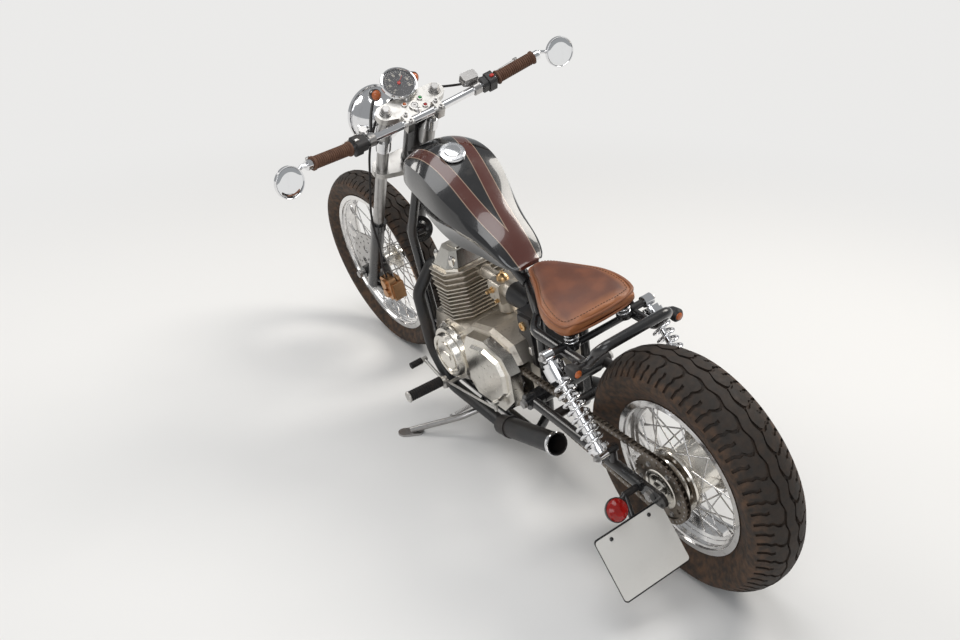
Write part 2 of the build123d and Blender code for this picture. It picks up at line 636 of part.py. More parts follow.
AXLE_HALF = 140.0
with BuildPart() as rear_axle:
    add(rod((REAR_X, 10 - AXLE_HALF, REAR_Z), (REAR_X, AXLE_HALF, REAR_Z), AXLE_R - AXLE_FIT))
    for y, turn in ((ARM_LEFT_Y + 5.3, 1), (ARM_RIGHT_Y - 5.3, -1)):
        with BuildSketch(Plane(origin=(REAR_X, y, REAR_Z), x_dir=(1, 0, 0), z_dir=(0, turn, 0))):
            RegularPolygon(14, 6)
        extrude(amount=11)
rear_axle.part.label = "rear_axle"

# Shocks: chromed damper with eyes and collars, and the open spring
def shock_line(side):
    """A shock's top, its foot and the way up from its foot."""
    top = Vector(SHOCK_TOP[0], side * SHOCK_Y, SHOCK_TOP[2])
    foot = Vector(REAR_X + SHOCK_FOOT[0], side * SHOCK_Y, SHOCK_FOOT[2])
    return top, foot, (top - foot).normalized()


# Chromed collars along the damper: from its foot, length, radius
SHOCK_COLLARS = [(10, 8, 19), (17, 7, 27), (24, 4, 24)]
# and down from its top
SHOCK_CAPS = [(17, 9, 22), (26, 30, 27), (56, 4, 25)]
with BuildPart() as shock_bodies:
    for side in (1, -1):
        top, foot, along = shock_line(side)
        length = (top - foot).length
        for eye in (top, foot):
            add(rod(eye - Vector(0, side * (12 - FIT), 0), eye + Vector(0, side * 14, 0), 15))
        add(rod(foot, top, 8))
        add(rod(foot + along * 10, foot + along * (length * 0.52), 15))
        for start, height, radius in SHOCK_COLLARS:
            add(rod(foot + along * start, foot + along * (start + height), radius))
        for start, height, radius in SHOCK_CAPS:
            add(rod(top - along * start, top - along * (start + height), radius))
shock_bodies.part.label = "shock_bodies"

with BuildPart() as shock_springs:
    for side in (1, -1):
        top, foot, along = shock_line(side)
        add(coil(foot + along * (28 + SHOCK_WIRE_R + FIT), top - along * (60 + SHOCK_WIRE_R + FIT),
                 SHOCK_SPRING_R, SHOCK_WIRE_R, SHOCK_COILS))
shock_springs.part.label = "shock_springs"

# Fuel tank: sections from front to back. The crease is its widest line, over a hollow flank
# x, top, half width and height of the shoulder, half width and height of the crease, floor, half width there
TANK_SECTIONS = [
    (995, 846, 44, 836, 60, 806, 788, 42),
    (986, 864, 66, 848, 86, 806, 772, 60),
    (958, 884, 90, 858, 103, 800, 742, 76),
    (915, 893, 100, 862, 109, 789, 712, 84),
    (833, 867, 104, 848, 111, 765, 676, 86),
    (738, 790, 88, 778, 97, 732, 656, 74),
    (640, 720, 62, 710, 72, 694, TANK_FLOOR, 54),
    (578, 668, 46, 661, 54, 653, TANK_FLOOR, 40),
    (560, 654, 30, 651, 36, 648, TANK_FLOOR + 2, 28),
]
FLANK_HOLLOW = 5.0
PANEL_SWELL = 2.5
FLOOR_HALF = 60.0
with BuildPart() as fuel_tank:
    for x, top, shoulder, shoulder_z, half, crease_z, floor, floor_half in TANK_SECTIONS:
        with BuildSketch(Plane.YZ.offset(x)):
            with BuildLine():
                Line((-floor_half, floor), (floor_half, floor))
                for side in (1, -1):
                    ThreePointArc((side * floor_half, floor),
                                  (side * ((floor_half + half) / 2 - FLANK_HOLLOW), (floor + crease_z) / 2),
                                  (side * half, crease_z))
                    panel = (half + shoulder) / 2 + PANEL_SWELL
                    ThreePointArc((side * half, crease_z), (side * panel, (crease_z + shoulder_z) / 2),
                                  (side * shoulder, shoulder_z))
                ThreePointArc((shoulder, shoulder_z), (0, top), (-shoulder, shoulder_z))
            make_face()
    loft()
    with BuildSketch(Plane.XZ):
        with BuildLine():
            Polyline((1100, 600), (1100, 905), (985, 835), (BACKBONE_BEND[0], BACKBONE_BEND[1] + 30),
                     (560, 600), close=True)
        make_face()
    extrude(amount=TUNNEL_HALF, both=True, mode=Mode.SUBTRACT)
    with BuildSketch(Plane.XY.offset(TANK_FLOOR)):
        with Locations((TANK_POST_X, 0)):
            Rectangle(2 * FLOOR_HALF, 4 * FLOOR_HALF)
    extrude(amount=-FLOOR_HALF, mode=Mode.SUBTRACT)
fuel_tank.part.label = "fuel_tank"

CAP_SEAT = 4.7
# The cap's rings, as distance from the tank and radius
CAP_RINGS = [(CAP_SEAT, 0), (CAP_SEAT, 34), (9, 36), (12, 34), (13, 31), (13, 22), (16, 20), (17, 0)]
with BuildPart() as fuel_cap:
    add(spun((851, 0, 872), (-0.42, 0, 0.9), CAP_RINGS))
fuel_cap.part.label = "fuel_cap"

# Saddle, drawn on the plane of its pan: x forward from its rear edge, z up
SEAT_PLANE = Plane(origin=(272, 0, 606), x_dir=(1, 0, 0.09), z_dir=(-0.09, 0, 1))
SEAT_LENGTH = 270.0
# distance along, half width, height at the edge, height in the middle
SEAT_SECTIONS = [
    (0, 100, 24, 34),
    (40, 116, 30, 40),
    (110, 104, 36, 52),
    (180, 62, 36, 52),
    (240, 34, 30, 44),
    (SEAT_LENGTH, 18, 18, 26),
]
with BuildPart() as seat:
    for along, half, edge, middle in SEAT_SECTIONS:
        origin = SEAT_PLANE.from_local_coords((along, 0, 0))
        with BuildSketch(Plane(origin=origin, x_dir=(0, 1, 0), z_dir=SEAT_PLANE.x_dir)):
            with BuildLine():
                Line((-half, 3), (half, 3))
                Line((half, 3), (half, edge))
                ThreePointArc((half, edge), (0, middle), (-half, edge))
                Line((-half, edge), (-half, 3))
            make_face()
    loft()
seat.part.label = "seat"

with BuildPart() as seat_pan:
    with BuildSketch(SEAT_PLANE):
        with BuildLine():
            Polyline(*[(along, half - 5) for along, half, _, _ in SEAT_SECTIONS],
                     *[(along, 5 - half) for along, half, _, _ in reversed(SEAT_SECTIONS)], close=True)
        make_face()
    extrude(amount=2.6)
    with BuildSketch(SEAT_PLANE):
        with Locations((SEAT_LENGTH - 25, 0)):
            Rectangle(40, 24)
    extrude(amount=-22)
seat_pan.part.label = "seat_pan"

with BuildPart() as seat_springs:
    for side in (1, -1):
        add(coil((SEAT_SPRING_X, side * SEAT_SPRING_Y, 574.8), (SEAT_SPRING_X, side * SEAT_SPRING_Y, 606.4),
                 15, 2.5, 3))
seat_springs.part.label = "seat_springs"

def fin_outline(half_length, half_width, corner_x, corner_y):
    """A fin's plan: a rectangle with its corners cut."""
    a, b, c, e = half_length, half_width, corner_x, corner_y
    return [(a, b - e), (a - c, b), (c - a, b), (-a, b - e), (-a, e - b), (c - a, -b), (a - c, -b),
            (a, e - b)]


CYLINDER = Plane(origin=(CYLINDER_X, 0, CYLINDER_Z), x_dir=(cos(radians(CYLINDER_LEAN)), 0,
                                                           -sin(radians(CYLINDER_LEAN))),
                 z_dir=(sin(radians(CYLINDER_LEAN)), 0, cos(radians(CYLINDER_LEAN))))
# Engine: cases, with a lip round the seam of their two halves
CASE_WAIST = 89.0
SEAM_LIP = 2.0
CASE_PROFILE = [(986, 320), (958, 392), (790, 400), (760, 425), (660, 452), (566, 440), (532, 385),
                (540, 262), (620, 205), (700, CASE_FLOOR), (900, CASE_FLOOR), (972, 235)]
with BuildPart() as crankcase:
    for side in (1, -1):
        for start, depth, taper in ((0, CASE_WAIST, 0), (CASE_WAIST, CASE_HALF - CASE_WAIST, 16)):
            with BuildSketch(SIDE.offset(-side * start)):
                with BuildLine():
                    Polyline(*CASE_PROFILE, close=True)
                make_face()
            extrude(amount=-side * depth, taper=taper)
    with BuildSketch(SIDE):
        with BuildLine():
            Polyline(*CASE_PROFILE, close=True)
        make_face()
        offset(amount=SEAM_LIP, kind=Kind.INTERSECTION)
    extrude(amount=4, both=True)
    with BuildSketch(CYLINDER.offset(-20)):
        with BuildLine():
            Polyline(*fin_outline(48, 94, 27, 35), close=True)
        make_face()
    extrude(amount=22 - FIT)
    with Locations((SHAFT_X, CASE_HALF - 14, SHAFT_Z)):
        Cylinder(FRONT_PITCH_R + 16, 40, rotation=(90, 0, 0), mode=Mode.SUBTRACT)
    with BuildSketch(SIDE.offset(-CASE_HALF - 1)):
        with Locations((SHAFT_X - 50, SHAFT_Z)):
            Rectangle(120, 2 * FRONT_PITCH_R + 32)
    extrude(amount=36, mode=Mode.SUBTRACT)
crankcase.part.label = "crankcase"


INLET_X = 804.0
INLET_Z = 530.0
PORT_X = 958.0
PORT_Y = 62.0
PORT_Z = 522.0
BARREL_HEIGHT = 96.0
HEAD_HEIGHT = 52.0
FIN_THICK = 3.2
BARREL_FINS = 9
HEAD_FINS = 4


def finned_block(base, height, core, fins, half_length):
    """A block with fins: a core outline, and fin plates spread over its height."""
    with BuildPart() as piece:
        with BuildSketch(CYLINDER.offset(base)):
            with BuildLine():
                Polyline(*core, close=True)
            make_face()
        extrude(amount=height)
        pitch = (height - FIN_THICK) / (fins - 1)
        for index in range(fins):
            with BuildSketch(CYLINDER.offset(base + index * pitch)):
                with BuildLine():
                    Polyline(*fin_outline(half_length, FIN_HALF_WIDTH, FIN_CORNER_X, FIN_CORNER_Y),
                             close=True)
                make_face()
            extrude(amount=FIN_THICK)
    return piece.part


with BuildPart() as cylinder_barrel:
    add(finned_block(2, BARREL_HEIGHT, fin_outline(44, 92, 26, 34), BARREL_FINS, 62))
cylinder_barrel.part.label = "cylinder_barrel"

with BuildPart() as cylinder_head:
    add(finned_block(2 + BARREL_HEIGHT, HEAD_HEIGHT, fin_outline(52, 94, 28, 36), HEAD_FINS, 72))
    add(rod((INLET_X + 30, 0, INLET_Z), (INLET_X, 0, INLET_Z), 20))
    for side in (1, -1):
        add(rod((PORT_X - 30, side * PORT_Y, PORT_Z), (PORT_X, side * PORT_Y, PORT_Z), 21))
cylinder_head.part.label = "cylinder_head"

ROCKER_BASE = 2 + BARREL_HEIGHT + HEAD_HEIGHT
ROCKER_BOLTS = [(40, 74), (-40, 74), (40, -74), (-40, -74)]
with BuildPart() as rocker_cover:
    with BuildSketch(CYLINDER.offset(ROCKER_BASE)):
        with BuildLine():
            Polyline(*fin_outline(64, 98, 26, 24), close=True)
        make_face()
    extrude(amount=10)
    with BuildSketch(CYLINDER.offset(ROCKER_BASE + 10)):
        with BuildLine():
            Polyline(*fin_outline(60, 94, 26, 24), close=True)
        make_face()
    with BuildSketch(CYLINDER.offset(ROCKER_BASE + 50)):
        with BuildLine():
            Polyline(*fin_outline(40, 66, 16, 14), close=True)
        make_face()
    loft()
    with BuildSketch(CYLINDER.offset(ROCKER_BASE + 50)):
        RectangleRounded(52, 96, 8)
    extrude(amount=2.5)
    for lead, y in ROCKER_BOLTS:
        foot = CYLINDER.from_local_coords((lead, y, ROCKER_BASE + 8))
        add(rod(foot, foot + CYLINDER.z_dir * 26, 9))
rocker_cover.part.label = "rocker_cover"

ALTERNATOR = (868.0, 288.0)
ALTERNATOR_R = 90.0
with BuildPart() as alternator_cover:
    with BuildSketch(SIDE.offset(-CASE_HALF)):
        with Locations(ALTERNATOR):
            Circle(ALTERNATOR_R)
            with PolarLocations(ALTERNATOR_R - 3, 7, start_angle=20):
                Circle(11)
    extrude(amount=-12)
    with BuildSketch(SIDE.offset(-CASE_HALF - 12)):
        with Locations(ALTERNATOR):
            Circle(ALTERNATOR_R - 6)
    extrude(amount=-15, taper=12)
    with BuildSketch(SIDE.offset(16 - COVER_HALF)):
        with Locations(ALTERNATOR):
            Circle(70)
    extrude(amount=-16, taper=16)
    with BuildSketch(SIDE.offset(-COVER_HALF)):
        with Locations(ALTERNATOR):
            Circle(54)
            Circle(44, mode=Mode.SUBTRACT)
    extrude(amount=3, mode=Mode.SUBTRACT)
    with BuildSketch(SIDE.offset(-COVER_HALF)):
        with Locations((ALTERNATOR[0] - 6, ALTERNATOR[1] + 4)):
            RectangleRounded(34, 20, 4)
    extrude(amount=-3, taper=12)
alternator_cover.part.label = "alternator_cover"

COVER_PLAN = [(770, 370), (740, 418), (650, 440), (560, 425), (530, 380), (536, 290), (600, 222),
              (740, 215), (774, 250)]
PANEL_PLAN = [(738, 372), (716, 396), (650, 412), (584, 402), (562, 368), (566, 306), (616, 252), (718, 246),
              (738, 268)]
COVER_BOLTS = [(736, 406), (576, 414), (546, 330), (612, 232), (728, 228)]
with BuildPart() as sprocket_cover:
    with BuildSketch(SIDE.offset(-CASE_HALF)):
        with BuildLine():
            Polyline(*COVER_PLAN, close=True)
        make_face()
        with Locations(ALTERNATOR):
            Circle(ALTERNATOR_R + 9, mode=Mode.SUBTRACT)
    extrude(amount=-(COVER_HALF - CASE_HALF - 12), taper=8)
    with BuildSketch(SIDE.offset(12 - COVER_HALF)):
        with BuildLine():
            Polyline(*PANEL_PLAN, close=True)
        make_face()
    extrude(amount=-10, taper=30)
    for x, z in COVER_BOLTS:
        add(rod((x, CASE_HALF + FIT, z), (x, CASE_HALF + 24, z), 10))
sprocket_cover.part.label = "sprocket_cover"

CLUTCH_PLAN = [(950, 330), (900, 385), (740, 400), (620, 400), (580, 320), (620, 230), (880, 210),
               (940, 250)]
CLUTCH_BOLTS = [(926, 350), (820, 388), (700, 394), (606, 360), (600, 276), (690, 226), (810, 218),
                (920, 252)]
with BuildPart() as clutch_cover:
    with BuildSketch(SIDE.offset(CASE_HALF)):
        with BuildLine():
            Polyline(*CLUTCH_PLAN, close=True)
        make_face()
    extrude(amount=18)
    with BuildSketch(SIDE.offset(CASE_HALF + 18)):
        with BuildLine():
            Polyline(*[(0.9 * x + 77, 0.88 * z + 37) for x, z in CLUTCH_PLAN], close=True)
        make_face()
    extrude(amount=COVER_HALF - CASE_HALF - 22, taper=24)
    with BuildSketch(SIDE.offset(COVER_HALF - 6)):
        with Locations((700, 310)):
            Circle(62)
    extrude(amount=6, taper=20)
    with BuildSketch(SIDE.offset(COVER_HALF - 6)):
        with Locations((858, 290)):
            Circle(32)
            with PolarLocations(30, 3, start_angle=90):
                Circle(8)
    extrude(amount=8, taper=8)
    for x, z in CLUTCH_BOLTS:
        add(rod((x, -CASE_HALF - FIT, z), (x, -CASE_HALF - 24, z), 9))
clutch_cover.part.label = "clutch_cover"

# Intake side
with BuildPart() as carburettor:
    add(rod((INLET_X - FIT, 0, INLET_Z), (740, 0, INLET_Z), 17))
    with BuildSketch(Plane.YZ.offset(690)):
        with Locations((0, 512)):
            RectangleRounded(70, 64, 10)
    extrude(amount=52)
    add(rod((716, 0, 484), (716, 0, 446), 26))
    add(rod((692, 0, 520), (660, 0, 520), 26))
carburettor.part.label = "carburettor"

with BuildPart() as air_filter:
    with BuildSketch(Plane.YZ.offset(660 - FIT)):
        with Locations((0, 518)):
            Circle(34)
    with BuildSketch(Plane.YZ.offset(580)):
        with Locations((0, 512)):
            Circle(26)
    loft()
air_filter.part.label = "air_filter"

with BuildPart() as battery_box:
    with BuildSketch(Plane.XZ):
        with BuildLine():
            Polyline((566, 468), (562, 540), (494, 545), (494, 380), (520, 380), (530, 456), close=True)
        make_face()
    extrude(amount=62, both=True)
    with BuildSketch(Plane.XZ):
        with BuildLine():
            Polyline((558, 474), (554, 532), (502, 537), (502, 392), (516, 392), (524, 464), close=True)
        make_face()
    extrude(amount=70, both=True)
    for side in (1, -1):
        add(rod((530, side * SEAT_JOINT[1], 535), (530, side * SEAT_JOINT[1], 562.0), 9))
battery_box.part.label = "battery_box"

# Exhaust: a header and a short open muffler on each side
PIPE_R = 18.0
EXHAUST_Y = 130.0
MUFFLER_R = 28.5
RUN_Z = 152.0
MUFFLER_HEAD_X = 642.0
MUFFLER_MOUTH = (371.0, 243.0)
with BuildPart() as exhausts:
    for side in (1, -1):
        header = [(PORT_X + FIT, side * PORT_Y, PORT_Z), (992, side * PORT_Y, PORT_Z),
                  (996, side * EXHAUST_Y, 440), (990, side * EXHAUST_Y, 250),
                  (920, side * EXHAUST_Y, RUN_Z), (MUFFLER_HEAD_X - 2, side * EXHAUST_Y, RUN_Z)]
        add(bent_tube(header, PIPE_R, [22, 50, 80, 70], PIPE_R - 2))
        head = Vector(MUFFLER_HEAD_X, side * EXHAUST_Y, RUN_Z)
        mouth = Vector(MUFFLER_MOUTH[0], side * EXHAUST_Y, MUFFLER_MOUTH[1])
        way = (mouth - head).normalized()
        add(rod(head, mouth, MUFFLER_R, MUFFLER_R - 2))
        add(rod(head - way * 8, head + way * 28, MUFFLER_R - 1, PIPE_R - 1))
        add(rod(head + way * 34, head + way * 46, MUFFLER_R + 3, MUFFLER_R - 1))
        add(rod(mouth - way * 6, mouth, MUFFLER_R + 1.5, MUFFLER_R - 2))
exhausts.part.label = "exhausts"

# Steered pieces
BEARING_HEIGHT = 14.0
YOKE_FACE = TOP_YOKE + YOKE_THICK
with BuildPart() as yokes:
    for along, radius in ((TOP_YOKE, 27), (LOW_YOKE, 29)):
        with BuildSketch(head_plane(along)):
            with Locations((FORK_AHEAD, FORK_HALF), (FORK_AHEAD, -FORK_HALF)):
                Circle(radius)
            Circle(STEM_R + 12)
            make_hull()
            with Locations((FORK_AHEAD, FORK_HALF), (FORK_AHEAD, -FORK_HALF)):
                Circle(STANCHION_R + AXLE_FIT, mode=Mode.SUBTRACT)
        extrude(amount=YOKE_THICK)
    add(rod(on_head(LOW_YOKE + 2), on_head(YOKE_FACE - 2), STEM_R))
    for along in (HEAD_LOW + 2, HEAD_HIGH - BEARING_HEIGHT - 2):
        add(rod(on_head(along), on_head(along + BEARING_HEIGHT), HEAD_BORE_R - AXLE_FIT))
    for side in (1, -1):
        with BuildSketch(head_plane(BAR_ALONG - CLAMP_HALF)):
            with Locations((BAR_AHEAD + CLAMP_HALF / 2, side * CLAMP_Y)):
                Rectangle(3 * CLAMP_HALF, CLAMP_WIDTH)
        extrude(amount=CLAMP_HALF)
    add(rod(on_head(YOKE_FACE - 1, KEY_AHEAD), on_head(YOKE_FACE + 5, KEY_AHEAD), 15, 10))
    for lead, y in YOKE_LAMPS:
        add(rod(on_head(YOKE_FACE - 1, lead, y), on_head(YOKE_FACE + 4, lead, y), YOKE_LAMP_R,
                YOKE_LAMP_R - 2.5))
    add(rod(on_bar(0, 0, -FORK_HALF), on_bar(0, 0, FORK_HALF), BAR_R + AXLE_FIT), mode=Mode.SUBTRACT)
yokes.part.label = "yokes"

with BuildPart() as fork_stanchions:
    for side in (1, -1):
        add(rod(on_head(SLIDER_TOP - 60, FORK_AHEAD, side * FORK_HALF),
                on_head(STANCHION_TOP, FORK_AHEAD, side * FORK_HALF), STANCHION_R))
        add(rod(on_head(STANCHION_TOP - 1, FORK_AHEAD, side * FORK_HALF),
                on_head(STANCHION_TOP + 4, FORK_AHEAD, side * FORK_HALF), STANCHION_R - 3))
fork_stanchions.part.label = "fork_stanchions"

LUG_Y = FORK_HALF - 4
with BuildPart() as fork_sliders:
    for side in (1, -1):
        add(rod(on_head(AXLE_ALONG - 24, FORK_AHEAD, side * FORK_HALF),
                on_head(SLIDER_TOP, FORK_AHEAD, side * FORK_HALF), SLIDER_R))
        add(rod(on_head(SLIDER_TOP - 34, FORK_AHEAD, side * FORK_HALF),
                on_head(SLIDER_TOP - 2, FORK_AHEAD, side * FORK_HALF), SLIDER_R + 3))
        add(rod(on_head(AXLE_ALONG, AXLE_AHEAD, side * (FORK_HALF - 19)),
                on_head(AXLE_ALONG, AXLE_AHEAD, side * (FORK_HALF + 17)), 19))
        add(rod(on_head(AXLE_ALONG, FORK_AHEAD, side * FORK_HALF),
                on_head(AXLE_ALONG, AXLE_AHEAD, side * FORK_HALF), 15))
        add(rod(on_head(SLIDER_TOP - 62, FORK_AHEAD, side * FORK_HALF),
                on_head(SLIDER_TOP + 1, FORK_AHEAD, side * FORK_HALF), STANCHION_R + AXLE_FIT),
            mode=Mode.SUBTRACT)
    add(rod(on_head(AXLE_ALONG, AXLE_AHEAD, -120), on_head(AXLE_ALONG, AXLE_AHEAD, 120), AXLE_BORE),
        mode=Mode.SUBTRACT)
    for rise in (12, -16):
        add(rod((FRONT_X - 30, LUG_Y, CALIPER_Z + rise),
                (CALIPER_X + CALIPER_HALF + FIT, LUG_Y, CALIPER_Z + rise), 8))
fork_sliders.part.label = "fork_sliders"

with BuildPart() as front_axle:
    add(rod(FRONT_AXLE - Vector(0, 108, 0), FRONT_AXLE + Vector(0, 108, 0), AXLE_R - AXLE_FIT))
front_axle.part.label = "front_axle"

def bar_run(side):
    """Where the bar's bent part starts, its end, and the ways out to the grip and back in."""
    rise, lead, y = GRIP_START
    start = on_bar(rise, lead, side * y)
    end = on_bar(BAR_END[0], BAR_END[1], side * BAR_END[2])
    inner = on_bar(0, 0, side * BAR_STRAIGHT)
    return start, end, (end - start).normalized(), (inner - start).normalized()


with BuildPart() as handlebar:
    half = [on_bar(*BAR_END), on_bar(*GRIP_START), on_bar(0, 0, BAR_STRAIGHT)]
    add(bent_tube(half + [Vector(point.X, -point.Y, point.Z) for point in reversed(half)], BAR_R,
                  [200, 90, 90, 200]))

handlebar.part.label = "handlebar"

with BuildPart() as bar_clamps:
    for side in (1, -1):
        with BuildSketch(Plane(origin=on_bar(0, 0, side * (CLAMP_Y - CLAMP_WIDTH / 2)), x_dir=HEAD_AHEAD,
                               z_dir=(0, side, 0))):
            Rectangle(2 * CLAMP_HALF, 2 * CLAMP_HALF - 4)
        extrude(amount=CLAMP_WIDTH)
    chamfer(bar_clamps.edges().filter_by(Axis.Y), 5)
    split(bisect_by=head_plane(BAR_ALONG + FIT), keep=Keep.TOP)
    add(rod(on_bar(0, 0, -FORK_HALF), on_bar(0, 0, FORK_HALF), BAR_R + AXLE_FIT), mode=Mode.SUBTRACT)
bar_clamps.part.label = "bar_clamps"

with BuildPart() as grips:
    for side in (1, -1):
        start, end, way, _ = bar_run(side)
        add(rod(start + way * 2, end - way * 2, GRIP_R, BAR_R + FIT))
        for place in (2, (end - start).length - 8):
            add(rod(start + way * place, start + way * (place + 6), GRIP_R + 3, BAR_R + FIT))
grips.part.label = "grips"

with BuildPart() as switchgear:
    for side in (1, -1):
        start, _, _, way = bar_run(side)
        for begin, depth, high, wide in ((8, 22, 44, 42), (29, 18, 36, 36)):
            with BuildSketch(Plane(origin=start + way * begin, x_dir=HEAD_AHEAD, z_dir=way)):
                RectangleRounded(wide, high, 9)
                Circle(BAR_R + FIT, mode=Mode.SUBTRACT)
            extrude(amount=depth)
switchgear.part.label = "switchgear"

LEVER_LEAD = 34.0
with BuildPart() as levers:
    for side in (1, -1):
        start, end, _, way = bar_run(side)
        perch = start + way * 64
        add(rod(perch - way * 10, perch + way * 10, 17, BAR_R + FIT))
        root = perch + HEAD_AHEAD * LEVER_LEAD
        add(rod(perch + HEAD_AHEAD * (BAR_R + 3), root, 8))
        add(rod(root - HEAD_UP * 8, root + HEAD_UP * 8, 11))
        tip = end + Vector(62, -side * 20, -14)
        bend = start + Vector(62, side * 14, -16)
        add(bent_tube([root, bend, tip], 4.5, 40))
        add(rod(tip - Vector(0, side * 6, 0), tip + Vector(0, side * 4, 0), 7.5))
    start, _, _, way = bar_run(-1)
    with BuildSketch(Plane(origin=start + way * 74 + HEAD_AHEAD * 26 + HEAD_UP * 10, x_dir=way,
                           z_dir=HEAD_UP)):
        RectangleRounded(46, 30, 6)
    extrude(amount=24)
    with BuildSketch(Plane(origin=start + way * 74 + HEAD_AHEAD * 26, x_dir=way, z_dir=HEAD_UP)):
        Circle(12)
    extrude(amount=11)
levers.part.label = "levers"

# Distance behind the glass, radius
MIRROR_SHELL = [(1.5, 0), (1.5, MIRROR_R - 4), (-1, MIRROR_R - 2), (-1, MIRROR_R), (8, MIRROR_R),
                (13, MIRROR_R - 8), (16, MIRROR_R - 22), (16, 0)]
with BuildPart() as mirrors:
    for side in (1, -1):
        centre = on_bar(MIRROR_CENTRE[0], MIRROR_CENTRE[1], side * MIRROR_CENTRE[2])
        facing = Vector(-1, -side * 0.15, 0.1).normalized()
        add(spun(centre, facing * -1, MIRROR_SHELL))
        _, end, way, _ = bar_run(side)
        add(rod(end + way * FIT, end + way * 14, 13))
        knee = end + way * 24 + Vector(8, 0, 0)
        add(rod(end + way * 8, knee, 6))
        add(rod(knee, centre - facing * 9, 5))
mirrors.part.label = "mirrors"

EAR_ALONG = HEAD_MIDDLE - 1
LAMP_R = 84.0
LAMP_DEPTH = 92.0
HEADLIGHT = on_head(EAR_ALONG - 60, 157)
LAMP_FACING = Vector(1, 0, -0.05).normalized()
with BuildPart() as headlight:
    with BuildSketch(Plane(origin=HEADLIGHT, x_dir=LAMP_FACING, z_dir=(0, -1, 0))):
        with BuildLine():
            ThreePointArc((-LAMP_DEPTH + 20, 0), (-34, LAMP_R * 0.7), (20, LAMP_R - 2))
            Polyline((20, LAMP_R - 2), (20, LAMP_R + 3), (33, LAMP_R + 3), (38, LAMP_R - 3),
                     (34, LAMP_R - 8), (27, LAMP_R - 10), (27, 0), (-LAMP_DEPTH + 20, 0))
        make_face()
    revolve(axis=Axis(HEADLIGHT, LAMP_FACING))
    for side in (1, -1):
        ear = on_head(EAR_ALONG, FORK_AHEAD, side * FORK_HALF)
        add(rod(HEADLIGHT + Vector(-4, side * 74, 0), ear, 7))
        add(rod(ear - HEAD_UP * 20, ear + HEAD_UP * 20, STANCHION_R + 5))
        add(rod(ear - HEAD_UP * 21, ear + HEAD_UP * 21, STANCHION_R + AXLE_FIT), mode=Mode.SUBTRACT)
headlight.part.label = "headlight"

# Gauge: distance from the dial towards its back, radius
GAUGE = on_head(TOP_YOKE + 42.8, 82.5)
GAUGE_BACK = Vector(0.6, 0, -0.8)
GAUGE_STALK_AHEAD = 44.0
GAUGE_CAN = [(4, 0), (4, 44), (-1, 46), (-2, 49), (3, 51), (7, 51), (9, 48), (18, 42), (20, 25), (50, 22),
             (50, 0)]
with BuildPart() as gauge:
    add(spun(GAUGE, GAUGE_BACK, GAUGE_CAN))
    add(rod(on_head(YOKE_FACE + FIT, GAUGE_STALK_AHEAD), on_head(YOKE_FACE + 12, GAUGE_STALK_AHEAD), 9))
gauge.part.label = "gauge"

with BuildPart() as brake_caliper:
    with BuildSketch(across(CALIPER_X, CALIPER_Z, DISC_Y + DISC_THICK + 1.5)):
        RectangleRounded(2 * CALIPER_HALF, 74, 12)
    extrude(amount=26)
    with BuildSketch(across(CALIPER_X, CALIPER_Z, DISC_Y + DISC_THICK + 27.5)):
        with Locations((0, 17), (0, -17)):
            Circle(15)
    extrude(amount=8)
    with BuildSketch(across(CALIPER_X, CALIPER_Z, DISC_Y - 14)):
        RectangleRounded(50, 60, 12)
    extrude(amount=12.5)
    with BuildSketch(across(CALIPER_X - 30, CALIPER_Z - 10, DISC_Y - 14)):
        RectangleRounded(16, 60, 4)
    extrude(amount=40)
brake_caliper.part.label = "brake_caliper"

HORN_FACE = Vector(1062, 44, 592)
HORN_WAY = Vector(30, -6, -12).normalized()
# Distance along, radius
HORN_BODY = [(-6, 0), (-6, 16), (0, 24), (2, 38), (14, 38), (14, 33), (20, 32), (24, 20), (24, 0)]
with BuildPart() as horn:
    add(spun(HORN_FACE, HORN_WAY, HORN_BODY))
    add(rod((1031, CRADLE_Y - RAIL_R - 2, 600), (1031, 50, 600), 7))
    add(rod((1031, 52, 600), (1066, 46, 592), 7))
horn.part.label = "horn"

# Pegs, gear lever and brake pedal
PEG_X = 890.0
PEG_Z = 179.0
PEDAL_Y = 158.0
TOE_X = 1010.0
TOE_Z = 212.0
LINK_X = 612.0
LINK_Z = 262.0
with BuildPart() as foot_controls:
    for side in (1, -1):
        add(rod((PEG_X, side * CRADLE_Y, CRADLE_Z + RAIL_R + FIT), (PEG_X, side * CRADLE_Y, PEG_Z + 2), 5.5))
        add(rod((PEG_X, side * (CRADLE_Y - 8), PEG_Z), (PEG_X, side * 168, PEG_Z), 7))
        add(rod((PEG_X, side * 164, PEG_Z - 5), (PEG_X, side * 164, PEG_Z + 29), 9))
        add(rod((PEG_X, side * 166, PEG_Z + 21), (PEG_X, side * 285, PEG_Z + 27), 13))
        add(rod((PEG_X + 4, side * PEDAL_Y, PEG_Z), (TOE_X, side * PEDAL_Y, TOE_Z), 5))
        add(rod((TOE_X, side * (PEDAL_Y - 8), TOE_Z), (TOE_X, side * (PEDAL_Y + 46), TOE_Z), 8))
    add(rod((PEG_X - 2, PEDAL_Y, PEG_Z + 14), (LINK_X, PEDAL_Y, LINK_Z - 22), 3.5))
    add(rod((PEG_X - 2, PEDAL_Y, PEG_Z), (PEG_X - 2, PEDAL_Y, PEG_Z + 16), 6))
    add(rod((LINK_X, PEDAL_Y, LINK_Z - 26), (LINK_X, PEDAL_Y, LINK_Z + 6), 5))
    add(rod((LINK_X, COVER_HALF + FIT, LINK_Z), (LINK_X, PEDAL_Y + 6, LINK_Z), 7))
foot_controls.part.label = "foot_controls"

